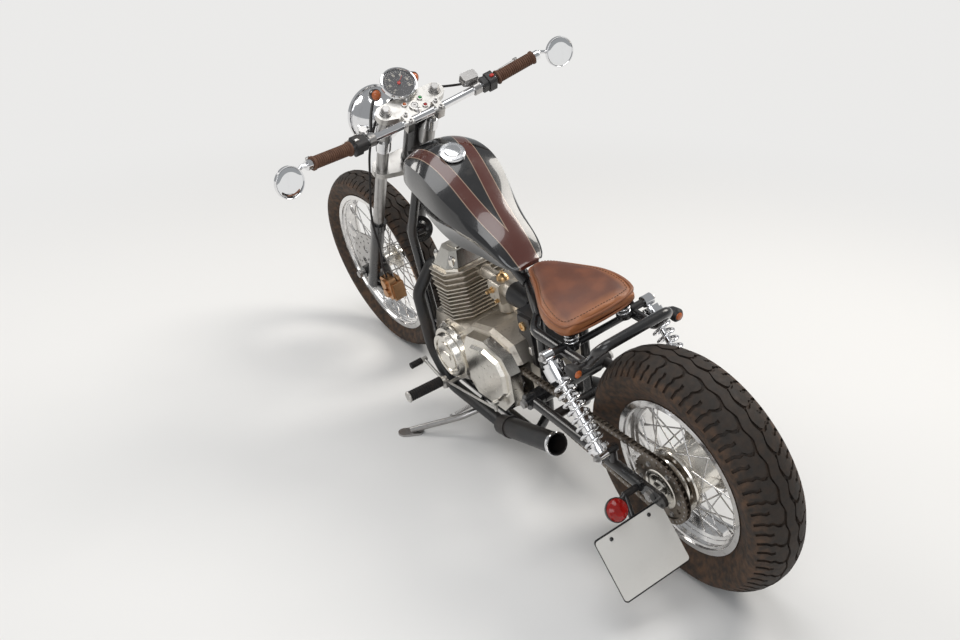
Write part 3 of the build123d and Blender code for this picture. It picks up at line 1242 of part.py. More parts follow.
# Number plate and lamps, measured from the rear axle's place on the floor
PLATE_CENTRE = Vector(REAR_X - 46, 203, 222)
PLATE_FACING = Vector(-cos(radians(36)), 0, sin(radians(36)))
LAMP_BACK = PLATE_CENTRE + Vector(65, 14, 92)
ARM_JOINT = Vector(REAR_X + 40, 172, 316)
with BuildPart() as number_plate:
    with BuildSketch(Plane(origin=PLATE_CENTRE, x_dir=(0, -1, 0), z_dir=PLATE_FACING)):
        RectangleRounded(190, 150, 8)
    extrude(amount=-2)
number_plate.part.label = "number_plate"

with BuildPart() as plate_bracket:
    with BuildSketch(Plane(origin=PLATE_CENTRE, x_dir=(0, -1, 0), z_dir=PLATE_FACING).offset(-2.3)):
        RectangleRounded(192, 158, 9)
    extrude(amount=-3)
    back = PLATE_CENTRE - PLATE_FACING * 4 + Vector(24, -16, 33)
    add(rod(back, back - PLATE_FACING * 12, 10))
    add(rod(back - PLATE_FACING * 10, ARM_JOINT, 8))
    add(rod(ARM_JOINT + Vector(0, 2, 0), (ARM_JOINT.X, ARM_LEFT_Y + ARM_R + FIT, ARM_JOINT.Z), 8.5))
    add(rod(LAMP_BACK - PLATE_FACING * FIT, LAMP_BACK - PLATE_FACING * 14, 11))
    add(rod(LAMP_BACK - PLATE_FACING * 8, ARM_JOINT, 7))
plate_bracket.part.label = "plate_bracket"

# Distance along, radius
TAIL_LAMP = [(0, 0), (0, 22), (4, 27), (9, 27), (17, 24), (23, 15), (25, 0)]
with BuildPart() as tail_lamp:
    add(spun(LAMP_BACK, PLATE_FACING, TAIL_LAMP))
tail_lamp.part.label = "tail_lamp"

# Turn signals on stalks that are screwed to the rear loop's uprights
SIGNAL_X = 200.0
SIGNAL_Y = 152.0
SIGNAL_Z = 579.0
SIGNAL = [(-22, 0), (-20, 9), (-8, 15), (8, 17), (14, 17), (20, 12), (22, 0)]
with BuildPart() as turn_signals:
    for side in (1, -1):
        stalk_foot = (SIGNAL_X, side * (SEAT_RAIL_Y + RAIL_R + FIT), SIGNAL_Z)
        add(rod(stalk_foot, (SIGNAL_X, side * SIGNAL_Y, SIGNAL_Z), 5))
        add(spun((SIGNAL_X, side * SIGNAL_Y, SIGNAL_Z), (-1, 0, 0), SIGNAL))
turn_signals.part.label = "turn_signals"

# Side stand: leg, spring lug and foot, down on its stop
FOOT_FLOOR = STAND_FOOT[1] * tan(lean)
FLOOR_UP = Vector(0, -sin(lean), cos(lean))
FOOT_POINT = Vector(STAND_FOOT[0], STAND_FOOT[1], FOOT_FLOOR)
with BuildPart() as side_stand:
    with BuildSketch(Plane(origin=FOOT_POINT, x_dir=(0.4, cos(lean), sin(lean)), z_dir=FLOOR_UP)):
        SlotCenterToCenter(36, 2 * FOOT_R)
    extrude(amount=FOOT_THICK)
    add(stand_rod(-18, 0, BOSS_R))
    add(stand_rod(-20, BOSS_HEIGHT + 4, STAND_BOLT_R))
    add(bent_tube([STAND_POINT - STAND_UP * 12, STAND_KNEE, FOOT_POINT + FLOOR_UP * (STAND_R + 1)],
                  STAND_R, 120))
    lug = Vector(STAND_KNEE) + (FOOT_POINT - Vector(STAND_KNEE)).normalized() * 24
    add(rod(lug, lug + Vector(14, 0, 10), 4))
side_stand.part.label = "side_stand"

FIXED = [frame_tubes, rack_bosses, swingarm, rear_axle, shock_bodies, shock_springs, fuel_tank, fuel_cap,
         seat, seat_pan, seat_springs, crankcase, cylinder_barrel, cylinder_head, rocker_cover,
         alternator_cover, sprocket_cover, clutch_cover, carburettor, air_filter, battery_box, exhausts,
         chain, front_sprocket, horn, foot_controls, number_plate, plate_bracket, tail_lamp, turn_signals,
         rear_tyre, rear_rim, rear_hub, rear_spokes, rear_sprocket, sprocket_ring, side_stand]
STEERED = [yokes, fork_stanchions, fork_sliders, front_axle, handlebar, bar_clamps, grips, switchgear,
           levers, mirrors, headlight, gauge, brake_caliper, front_tyre, front_rim, front_hub,
           front_spokes, brake_disc]

PARKED = []
for piece in FIXED + STEERED:
    placed = piece.part.rotate(STEERING, STEER) if piece in STEERED else piece.part
    placed = placed.rotate(Axis.X, -LEAN)
    placed.label = piece.part.label
    PARKED.append(placed)

# The origin is on the floor, in the middle of the parked machine
WHOLE = Compound(children=PARKED).bounding_box()
MIDDLE = Vector((WHOLE.min.X + WHOLE.max.X) / 2, (WHOLE.min.Y + WHOLE.max.Y) / 2, WHOLE.min.Z)
print("the point that becomes the origin:", MIDDLE.X, MIDDLE.Y, MIDDLE.Z)
for placed in PARKED:
    placed.parent = None
    moved = placed.translate(MIDDLE * -1)
    moved.label = placed.label
    export_step(moved, f"parts/{moved.label}.step")
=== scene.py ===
"""A light cruiser motorcycle on its side stand: finishes, tyres, saddle, trim and studio."""
from __future__ import annotations

import json
import logging
import math
from dataclasses import dataclass
from enum import Enum
from typing import Callable, Iterable, Sequence

import bpy
from mathutils import Matrix, Vector


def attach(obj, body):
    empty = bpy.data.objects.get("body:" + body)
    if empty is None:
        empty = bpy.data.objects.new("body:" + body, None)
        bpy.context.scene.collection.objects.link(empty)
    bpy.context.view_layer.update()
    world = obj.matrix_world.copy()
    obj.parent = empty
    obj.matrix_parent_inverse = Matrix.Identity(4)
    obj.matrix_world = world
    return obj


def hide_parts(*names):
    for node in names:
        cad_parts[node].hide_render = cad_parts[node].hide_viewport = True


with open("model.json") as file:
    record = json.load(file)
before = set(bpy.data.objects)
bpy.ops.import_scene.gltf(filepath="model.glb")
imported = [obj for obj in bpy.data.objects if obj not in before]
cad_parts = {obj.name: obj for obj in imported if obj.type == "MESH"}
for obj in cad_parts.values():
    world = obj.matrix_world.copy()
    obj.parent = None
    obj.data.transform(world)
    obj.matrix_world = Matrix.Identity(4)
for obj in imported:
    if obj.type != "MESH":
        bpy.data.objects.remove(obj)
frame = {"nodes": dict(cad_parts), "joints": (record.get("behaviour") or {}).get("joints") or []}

log = logging.getLogger("motorcycle")
Colour = tuple[float, float, float]
Spot = tuple[float, float, float]
Profile = Sequence[tuple[float, float]]
Piece = bpy.types.Object
Material = bpy.types.Material
SIDES = (1, -1)
LEFT = Vector((0, 1, 0))


class Body(Enum):
    """The moving bodies of the frame."""

    FRAME = "frame"
    REAR_WHEEL = "rear_wheel"
    STAND = "side_stand"
    FORK = "fork"
    FRONT_WHEEL = "front_wheel"


STEERED = (Body.FORK, Body.FRONT_WHEEL)


def mm(*values: float) -> Vector:
    """A point or way given in millimetres."""
    return Vector(values) / 1000


def on_side(point: Vector, side: float) -> Vector:
    """A point's place on the left (1) or the right (-1) of the machine."""
    return Vector((point.x, side * point.y, point.z))


def slope(degrees: float) -> Vector:
    """The way to the rear that rises by an angle."""
    return Vector((-math.cos(math.radians(degrees)), 0, math.sin(math.radians(degrees))))


def around(centre: Vector, radius: float, count: int, first: float = 0.0) -> list[Vector]:
    """Even places on a circle that faces the side, from an angle in degrees."""
    turns = [math.radians(first + index * 360 / count) for index in range(count)]
    return [centre + Vector((math.cos(turn), 0, math.sin(turn))) * radius for turn in turns]


def spaced(line: Sequence[Vector], pitch: float) -> list[tuple[Vector, Vector]]:
    """Places a pitch apart along a line, each with the line's way there.

    Args:
        line: the line's points.
        pitch: how far apart the places are.

    Returns:
        The places and ways.
    """
    places, spare = [], 0.0
    for start, end in zip(line, line[1:]):
        length = (end - start).length
        while spare < length:
            places.append((start.lerp(end, spare / length), end - start))
            spare += pitch
        spare -= length
    return places


def put(name: str, data: bpy.types.ID) -> Piece:
    """Adds an object to the scene.

    Args:
        name: the object's name.
        data: its mesh, curve, lamp or camera.

    Returns:
        The object.
    """
    obj = bpy.data.objects.new(name, data)
    bpy.context.scene.collection.objects.link(obj)
    return obj


@dataclass(frozen=True)
class Stance:
    """How the parked machine stands in the frame. Pieces are drawn upright and then placed by it.

    Upright, X is forward, Y to the left and Z up, in metres, from the floor under the rear axle.
    """

    parked: Matrix
    turned: Matrix
    lean: float
    rear_axle: Vector
    front_axle: Vector
    head_foot: Vector
    head_up: Vector
    bar_along: float = 1.1241
    bar_ahead: float = -0.0307

    @classmethod
    def read(cls, joints: Sequence[dict]) -> "Stance":
        """Works the stance out from the frame's joints.

        Args:
            joints: the frame's joints, as the frame gives them.

        Returns:
            The stance.
        """
        rows = {row["name"]: row for row in joints}
        rear, front, head = (rows[name]
                             for name in ("rear_wheel_spin", "front_wheel_spin", "steering"))
        across = Vector(rear["axis"])
        lean = math.atan2(-across.z, across.y)
        turn = Matrix.Rotation(-lean, 4, "X")
        axle = Vector(rear["pos_m"])
        upright_axle = Vector((0, 0, axle.z / math.cos(lean)))
        parked = Matrix.Translation(axle - turn @ upright_axle) @ turn
        axis, pivot = Vector(head["axis"]), Vector(head["pos_m"])
        straight = across - axis * across.dot(axis)
        steered = Vector(front["axis"]) - axis * Vector(front["axis"]).dot(axis)
        steer = math.atan2(axis.dot(straight.cross(steered)), straight.dot(steered))
        swing = (Matrix.Translation(pivot) @ Matrix.Rotation(steer, 4, axis)
                 @ Matrix.Translation(-pivot))
        turned = swing @ parked
        upright = parked.inverted()
        head_up = (upright.to_3x3() @ axis).normalized()
        head_point = upright @ pivot
        head_foot = head_point - head_up * (head_point.z / head_up.z)
        front_axle = turned.inverted() @ Vector(front["pos_m"])
        return cls(parked, turned, lean, upright_axle, front_axle, head_foot, head_up)

    def matrix(self, body: Body) -> Matrix:
        """The placing matrix of a body."""
        return self.turned if body in STEERED else self.parked

    def on_head(self, along: float, ahead: float = 0.0, side: float = 0.0) -> Vector:
        """A point by its height along the steering axis, its lead ahead of it and its side."""
        forward = Vector((self.head_up.z, 0, -self.head_up.x))
        return self.head_foot + self.head_up * along + forward * ahead + Vector((0, side, 0))

    def on_bar(self, place: Vector, side: float) -> Vector:
        """A point from the bar's middle: its rise, lead and side."""
        return self.on_head(self.bar_along + place.x, self.bar_ahead + place.y, side * place.z)


class Channel:
    """A number that changes over a surface: a shader socket with arithmetic."""

    def __init__(self, recipe: "Recipe", socket: bpy.types.NodeSocket) -> None:
        """Keeps the socket and the recipe that it belongs to."""
        self.recipe = recipe
        self.socket = socket

    def _math(self, operation: str, first: "Channel | float",
              second: "Channel | float" = 0.0) -> "Channel":
        """Adds one Math node."""
        node = self.recipe.add("ShaderNodeMath", {"operation": operation}, {0: first, 1: second})
        return Channel(self.recipe, node.outputs[0])

    def __add__(self, other: "Channel | float") -> "Channel":
        """Sum."""
        return self._math("ADD", self, other)

    def __sub__(self, other: "Channel | float") -> "Channel":
        """Difference."""
        return self._math("SUBTRACT", self, other)

    def __rsub__(self, other: "Channel | float") -> "Channel":
        """Difference, with the channel on the right."""
        return self._math("SUBTRACT", other, self)

    def __mul__(self, other: "Channel | float") -> "Channel":
        """Product."""
        return self._math("MULTIPLY", self, other)

    __radd__ = __add__
    __rmul__ = __mul__

    def size(self) -> "Channel":
        """The value without its sign."""
        return self._math("ABSOLUTE", self)

    def most(self, other: "Channel | float") -> "Channel":
        """The larger of the two."""
        return self._math("MAXIMUM", self, other)

    def rise(self, low: float, high: float) -> "Channel":
        """A smooth step from 0 at low to 1 at high.

        Args:
            low: where the step starts.
            high: where it ends.

        Returns:
            The step.
        """
        node = self.recipe.add("ShaderNodeMapRange", {"interpolation_type": "SMOOTHSTEP"},
                               {"Value": self, "From Min": low, "From Max": high})
        return Channel(self.recipe, node.outputs["Result"])

    def scaled(self, low: float, high: float) -> "Channel":
        """The value from 0 to 1 spread over low to high.

        Args:
            low: the value for 0.
            high: the value for 1.

        Returns:
            The spread value.
        """
        node = self.recipe.add("ShaderNodeMapRange", {},
                               {"Value": self, "To Min": low, "To Max": high})
        return Channel(self.recipe, node.outputs["Result"])


class Recipe:
    """The node tree of one finish."""

    def __init__(self, name: str, stance: Stance | None = None) -> None:
        """Starts a material with one principled shader.

        Args:
            name: the material's name.
            stance: how the machine stands, where the finish reads places on the upright machine.
        """
        self.material = bpy.data.materials.new(name)
        self.material.use_nodes = True
        self.tree = self.material.node_tree
        self.tree.nodes.clear()
        self.output = self.tree.nodes.new("ShaderNodeOutputMaterial")
        self.shader = self.tree.nodes.new("ShaderNodeBsdfPrincipled")
        self.tree.links.new(self.shader.outputs[0], self.output.inputs[0])
        self.stance = stance

    def add(self, kind: str, settings: dict, sockets: dict) -> bpy.types.Node:
        """Adds a node.

        Args:
            kind: the node's type.
            settings: attributes that are set first.
            sockets: values or links by the socket's name or number.

        Returns:
            The node.
        """
        node = self.tree.nodes.new(kind)
        for key, value in settings.items():
            setattr(node, key, value)
        for key, value in sockets.items():
            self._feed(node.inputs[key], value)
        return node

    def _feed(self, socket: bpy.types.NodeSocket, value: object) -> None:
        """Links a channel or a socket to a socket, or sets the socket's value.

        Args:
            socket: the input.
            value: a channel, a socket, a colour or a number.
        """
        if isinstance(value, Channel):
            value = value.socket
        if isinstance(value, bpy.types.NodeSocket):
            self.tree.links.new(value, socket)
        elif isinstance(value, tuple) and socket.type == "RGBA" and len(value) == 3:
            socket.default_value = (*value, 1.0)
        else:
            socket.default_value = value

    def here(self) -> bpy.types.NodeSocket:
        """A point's own place on the piece."""
        return self.add("ShaderNodeTexCoord", {}, {}).outputs["Object"]

    def axes(self) -> list[Channel]:
        """The forward, left and up channels of a point's place on the upright machine.

        Returns:
            The three channels.
        """
        lean = self.stance.lean
        shift = -(Matrix.Rotation(lean, 3, "X") @ self.stance.parked.translation)
        mapping = self.add("ShaderNodeMapping", {}, {"Vector": self.here(), "Location": shift,
                                                     "Rotation": (lean, 0, 0)})
        split = self.add("ShaderNodeSeparateXYZ", {}, {0: mapping.outputs[0]})
        return [Channel(self, socket) for socket in split.outputs]

    def noise(self, scale: float, detail: float = 3.0) -> Channel:
        """Cloudy noise from 0 to 1, by its cells to the metre and its octaves.

        Args:
            scale: cells to the metre.
            detail: octaves.

        Returns:
            The noise.
        """
        node = self.add("ShaderNodeTexNoise", {}, {"Vector": self.here(), "Scale": scale,
                                                   "Detail": detail})
        return Channel(self, node.outputs[0])

    def cells(self, scale: float) -> Channel:
        """Distance to the nearest cell edge of a pebbled grain.

        Args:
            scale: cells to the metre.

        Returns:
            The distance.
        """
        node = self.add("ShaderNodeTexVoronoi", {"feature": "DISTANCE_TO_EDGE"},
                        {"Vector": self.here(), "Scale": scale})
        return Channel(self, node.outputs[0])

    def stored(self, name: str) -> Channel:
        """An attribute that the mesh stores."""
        node = self.add("ShaderNodeAttribute", {"attribute_name": name}, {})
        return Channel(self, node.outputs["Fac"])

    def blend(self, share: "Channel | float", first: object,
              second: object) -> bpy.types.NodeSocket:
        """A colour between two, by a share from 0 to 1."""
        return self.add("ShaderNodeMix", {"data_type": "RGBA"},
                        {0: share, 6: first, 7: second}).outputs[2]

    def bump(self, height: Channel, strength: float, depth: float) -> bpy.types.NodeSocket:
        """A normal from a height."""
        return self.add("ShaderNodeBump", {}, {"Height": height, "Strength": strength,
                                               "Distance": depth}).outputs[0]

    def set(self, **sockets: object) -> Material:
        """Sets the shader's sockets, with spaces for underscores in their names.

        Args:
            sockets: values or links by name.

        Returns:
            The finished material.
        """
        for key, value in sockets.items():
            self._feed(self.shader.inputs[key.replace("_", " ")], value)
        return self.material


@dataclass(frozen=True)
class Metal:
    """A bare metal surface, from mirror chrome to rough casting."""

    name: str
    colour: Colour
    rough: float
    spread: float = 0.05
    grain: float = 0.0
    grain_scale: float = 900.0
    soil: Colour = (0.10, 0.07, 0.05)
    soiled: float = 0.12

    def make(self) -> Material:
        """Builds the material.

        Returns:
            The material.
        """
        recipe = Recipe(self.name)
        haze = recipe.noise(14.0, 5.0).scaled(self.rough - self.spread, self.rough + self.spread)
        film = recipe.noise(55.0, 6.0).rise(0.52, 0.78) * self.soiled
        values = {"Base_Color": recipe.blend(film, self.colour, self.soil), "Metallic": 1.0,
                  "Roughness": haze + film * 0.5}
        if self.grain:
            values["Normal"] = recipe.bump(recipe.noise(self.grain_scale), self.grain, 0.0004)
        return recipe.set(**values)


@dataclass(frozen=True)
class Paint:
    """Sprayed paint or plastic, with a film of road dust."""

    name: str
    colour: Colour
    rough: float
    coat: float = 0.0
    dust: Colour = (0.16, 0.11, 0.075)
    dusted: float = 0.25
    grain: float = 0.0
    grain_scale: float = 1400.0

    def make(self) -> Material:
        """Builds the material.

        Returns:
            The material.
        """
        recipe = Recipe(self.name)
        film = recipe.noise(9.0, 6.0).rise(0.42, 0.80) * recipe.noise(130.0, 4.0) * self.dusted
        haze = recipe.noise(30.0, 4.0).scaled(self.rough * 0.85, self.rough * 1.2)
        values = {"Base_Color": recipe.blend(film, self.colour, self.dust),
                  "Roughness": film * 0.6 + haze, "Coat_Weight": self.coat, "Coat_Roughness": 0.05}
        if self.grain:
            values["Normal"] = recipe.bump(recipe.noise(self.grain_scale, 2.0), self.grain, 0.0003)
        return recipe.set(**values)


@dataclass(frozen=True)
class TankPaint:
    """Gloss black with two brown stripes that meet towards the saddle, each edged by a line."""

    black: Colour = (0.008, 0.008, 0.009)
    brown: Colour = (0.080, 0.018, 0.011)
    line: Colour = (0.42, 0.30, 0.22)
    dust: Colour = (0.2, 0.15, 0.11)
    line_half: float = 0.0011
    line_soft: float = 0.0005
    stripe_soft: float = 0.0004
    meeting_x: float = 0.640
    inner_slope: float = 0.165
    outer_rear: float = 0.030
    outer_slope: float = 0.130
    rear_x: float = 0.560

    def make(self, stance: Stance) -> Material:
        """Builds the material, with its stripes drawn on the upright tank.

        Args:
            stance: how the machine stands.

        Returns:
            The material.
        """
        recipe = Recipe("tank_paint", stance)
        forward, left, _ = recipe.axes()
        side = left.size()
        inner = (forward - self.meeting_x) * self.inner_slope
        outer = (forward - self.rear_x) * self.outer_slope + self.outer_rear
        inside, outside = (off.rise(-self.stripe_soft, self.stripe_soft)
                           for off in (side - inner, outer - side))
        near, far = (1 - ((side - edge).size() - self.line_half).rise(-self.line_soft,
                                                                      self.line_soft)
                     for edge in (inner, outer))
        tint = recipe.blend(inside * outside, self.black, self.brown)
        tint = recipe.blend(near.most(far) * 0.8, tint, self.line)
        dust = recipe.noise(26.0, 6.0).rise(0.5, 0.85) * 0.05
        fleck = recipe.noise(700.0, 2.0).scaled(0.85, 1.15)
        return recipe.set(Base_Color=recipe.blend(dust, tint, self.dust),
                          Roughness=dust * 2.0 + recipe.noise(12.0, 4.0).scaled(0.16, 0.24) * fleck,
                          Coat_Weight=1.0, Coat_Roughness=0.03,
                          Normal=recipe.bump(recipe.noise(5.0, 2.0), 0.05, 0.002))


@dataclass(frozen=True)
class Rubber:
    """Tyre or grip rubber with dry earth on it."""

    name: str
    colour: Colour = (0.022, 0.018, 0.015)
    earth: Colour = (0.17, 0.088, 0.045)
    worn: float = 0.55
    flanked: bool = False

    def make(self) -> Material:
        """Builds the material. Where it is flanked, the earth lies on the tyre's flanks.

        Returns:
            The material.
        """
        recipe = Recipe(self.name)
        cover = recipe.noise(7.0, 6.0).scaled(0.25, 1.0) * recipe.noise(60.0, 6.0).rise(0.25, 0.8)
        share = cover * self.worn
        if self.flanked:
            share = share * recipe.stored("flank").scaled(0.30, 1.5)
        grain = recipe.noise(1500.0) + recipe.noise(260.0) * 0.6
        return recipe.set(Base_Color=recipe.blend(share, self.colour, self.earth),
                          Roughness=recipe.noise(90.0, 4.0).scaled(0.55, 0.85),
                          Normal=recipe.bump(grain, 0.25, 0.0004), Specular_IOR_Level=0.35)


@dataclass(frozen=True)
class Leather:
    """Oiled brown leather, darker in the dish of the saddle and lighter on its rolled edge."""

    name: str = "saddle_leather"
    colour: Colour = (0.17, 0.050, 0.019)
    dark: Colour = (0.105, 0.030, 0.013)
    pale: Colour = (0.40, 0.15, 0.055)

    def make(self) -> Material:
        """Builds the material.

        Returns:
            The material.
        """
        recipe = Recipe(self.name)
        cloud = recipe.noise(17.0, 5.0)
        tint = recipe.blend(cloud.rise(0.35, 0.7), self.dark, self.colour)
        edge = recipe.stored("edge") * recipe.noise(40.0, 4.0).scaled(0.55, 1.0)
        grain = recipe.cells(620.0).rise(0.0, 0.16)
        height = grain * 0.7 + recipe.noise(1900.0, 2.0) * 0.3
        return recipe.set(Base_Color=recipe.blend(edge, tint, self.pale),
                          Roughness=cloud.scaled(0.34, 0.50) + (1 - grain) * 0.12,
                          Normal=recipe.bump(height, 0.20, 0.00035), Coat_Weight=0.12,
                          Coat_Roughness=0.35)


@dataclass(frozen=True)
class Glass:
    """Clear or coloured glass and lenses."""

    name: str
    colour: Colour
    rough: float = 0.03
    through: float = 1.0
    shown: float = 1.0

    def make(self) -> Material:
        """Builds the material, as a faint film where it is shown by less than 1.

        Returns:
            The material.
        """
        recipe = Recipe(self.name)
        haze = recipe.noise(60.0, 4.0).scaled(self.rough, self.rough + 0.04)
        if self.shown < 1.0:
            streak = recipe.noise(30.0).scaled(self.shown * 0.8, self.shown * 1.2)
            return recipe.set(Base_Color=self.colour, Roughness=haze, Alpha=streak, IOR=1.5)
        return recipe.set(Base_Color=self.colour, Roughness=haze, Transmission_Weight=self.through,
                          IOR=1.5)


class Finishes:
    """Every finish of the machine, made once and shared."""

    def __init__(self, stance: Stance) -> None:
        """Builds the finishes.

        Args:
            stance: how the machine stands.
        """
        self.chrome = Metal("bright_chrome", (0.80, 0.80, 0.81), 0.09, 0.04).make()
        self.rim_chrome = Metal("rim_chrome", (0.76, 0.75, 0.74), 0.14, 0.06, soiled=0.3).make()
        self.steel = Metal("plain_steel", (0.42, 0.41, 0.40), 0.32, 0.06, 0.06,
                           soiled=0.25).make()
        self.spoke_steel = Metal("spoke_steel", (0.62, 0.61, 0.60), 0.22, 0.06, soiled=0.3).make()
        self.chain_steel = Metal("chain_steel", (0.20, 0.17, 0.14), 0.38, 0.08, 0.2,
                                 soiled=0.7).make()
        self.polished = Metal("polished_alloy", (0.80, 0.765, 0.70), 0.20, 0.07,
                              soiled=0.25).make()
        self.satin = Metal("satin_alloy", (0.56, 0.545, 0.52), 0.34, 0.06, 0.10, 1200.0,
                           soiled=0.25).make()
        self.cast = Metal("cast_alloy", (0.60, 0.555, 0.49), 0.44, 0.08, 0.5, 1000.0,
                          soiled=0.45).make()
        self.brass = Metal("brass_fittings", (0.70, 0.47, 0.24), 0.30, 0.08, soiled=0.3).make()
        self.bronze = Metal("bronze_caliper", (0.55, 0.32, 0.17), 0.36, 0.08, 0.2,
                            soiled=0.35).make()
        self.mirror = Metal("mirror_glass", (0.86, 0.87, 0.88), 0.012, 0.008, soiled=0.05).make()
        self.frame_paint = Paint("frame_paint", (0.010, 0.010, 0.011), 0.26, 0.5).make()
        self.black_gloss = Paint("black_gloss", (0.009, 0.009, 0.010), 0.18, 0.8,
                                 dusted=0.15).make()
        self.black_satin = Paint("black_satin", (0.013, 0.013, 0.014), 0.42, dusted=0.35,
                                 grain=0.1).make()
        self.plastic = Paint("black_plastic", (0.014, 0.014, 0.015), 0.45, dusted=0.3,
                             grain=0.3).make()
        self.red_plastic = Paint("red_plastic", (0.42, 0.020, 0.012), 0.35, dusted=0.1).make()
        self.orange_plastic = Paint("orange_plastic", (0.48, 0.11, 0.02), 0.25, 0.5,
                                    dusted=0.15).make()
        self.plate_white = Paint("plate_white", (0.72, 0.70, 0.66), 0.30, 0.3, dusted=0.12).make()
        self.dial_face = Paint("dial_face", (0.055, 0.055, 0.06), 0.45, dusted=0.05).make()
        self.dial_marks = Paint("dial_marks", (0.72, 0.68, 0.60), 0.45, dusted=0.05).make()
        self.welt = Paint("leather_welt", (0.23, 0.080, 0.030), 0.40, 0.15, dusted=0.15,
                          grain=0.3).make()
        self.thread = Paint("seam_thread", (0.10, 0.045, 0.02), 0.7, dusted=0.0).make()
        self.tank = TankPaint().make(stance)
        self.tyre = Rubber("tyre_rubber", flanked=True).make()
        self.hose = Rubber("hose_rubber", (0.012, 0.012, 0.013), worn=0.12).make()
        self.grip = Rubber("grip_rubber", (0.085, 0.038, 0.022), (0.23, 0.12, 0.07), 0.5).make()
        self.leather = Leather().make()
        self.lamp_glass = Glass("lamp_glass", (0.93, 0.94, 0.93), 0.02).make()
        self.clear = Glass("clear_glass", (0.30, 0.31, 0.32), 0.02, shown=0.03).make()
        self.green_lens = Glass("green_lens", (0.03, 0.35, 0.08), 0.08, 0.4).make()
        self.red_lens = Glass("red_lens", (0.46, 0.012, 0.010), 0.08, 0.45).make()


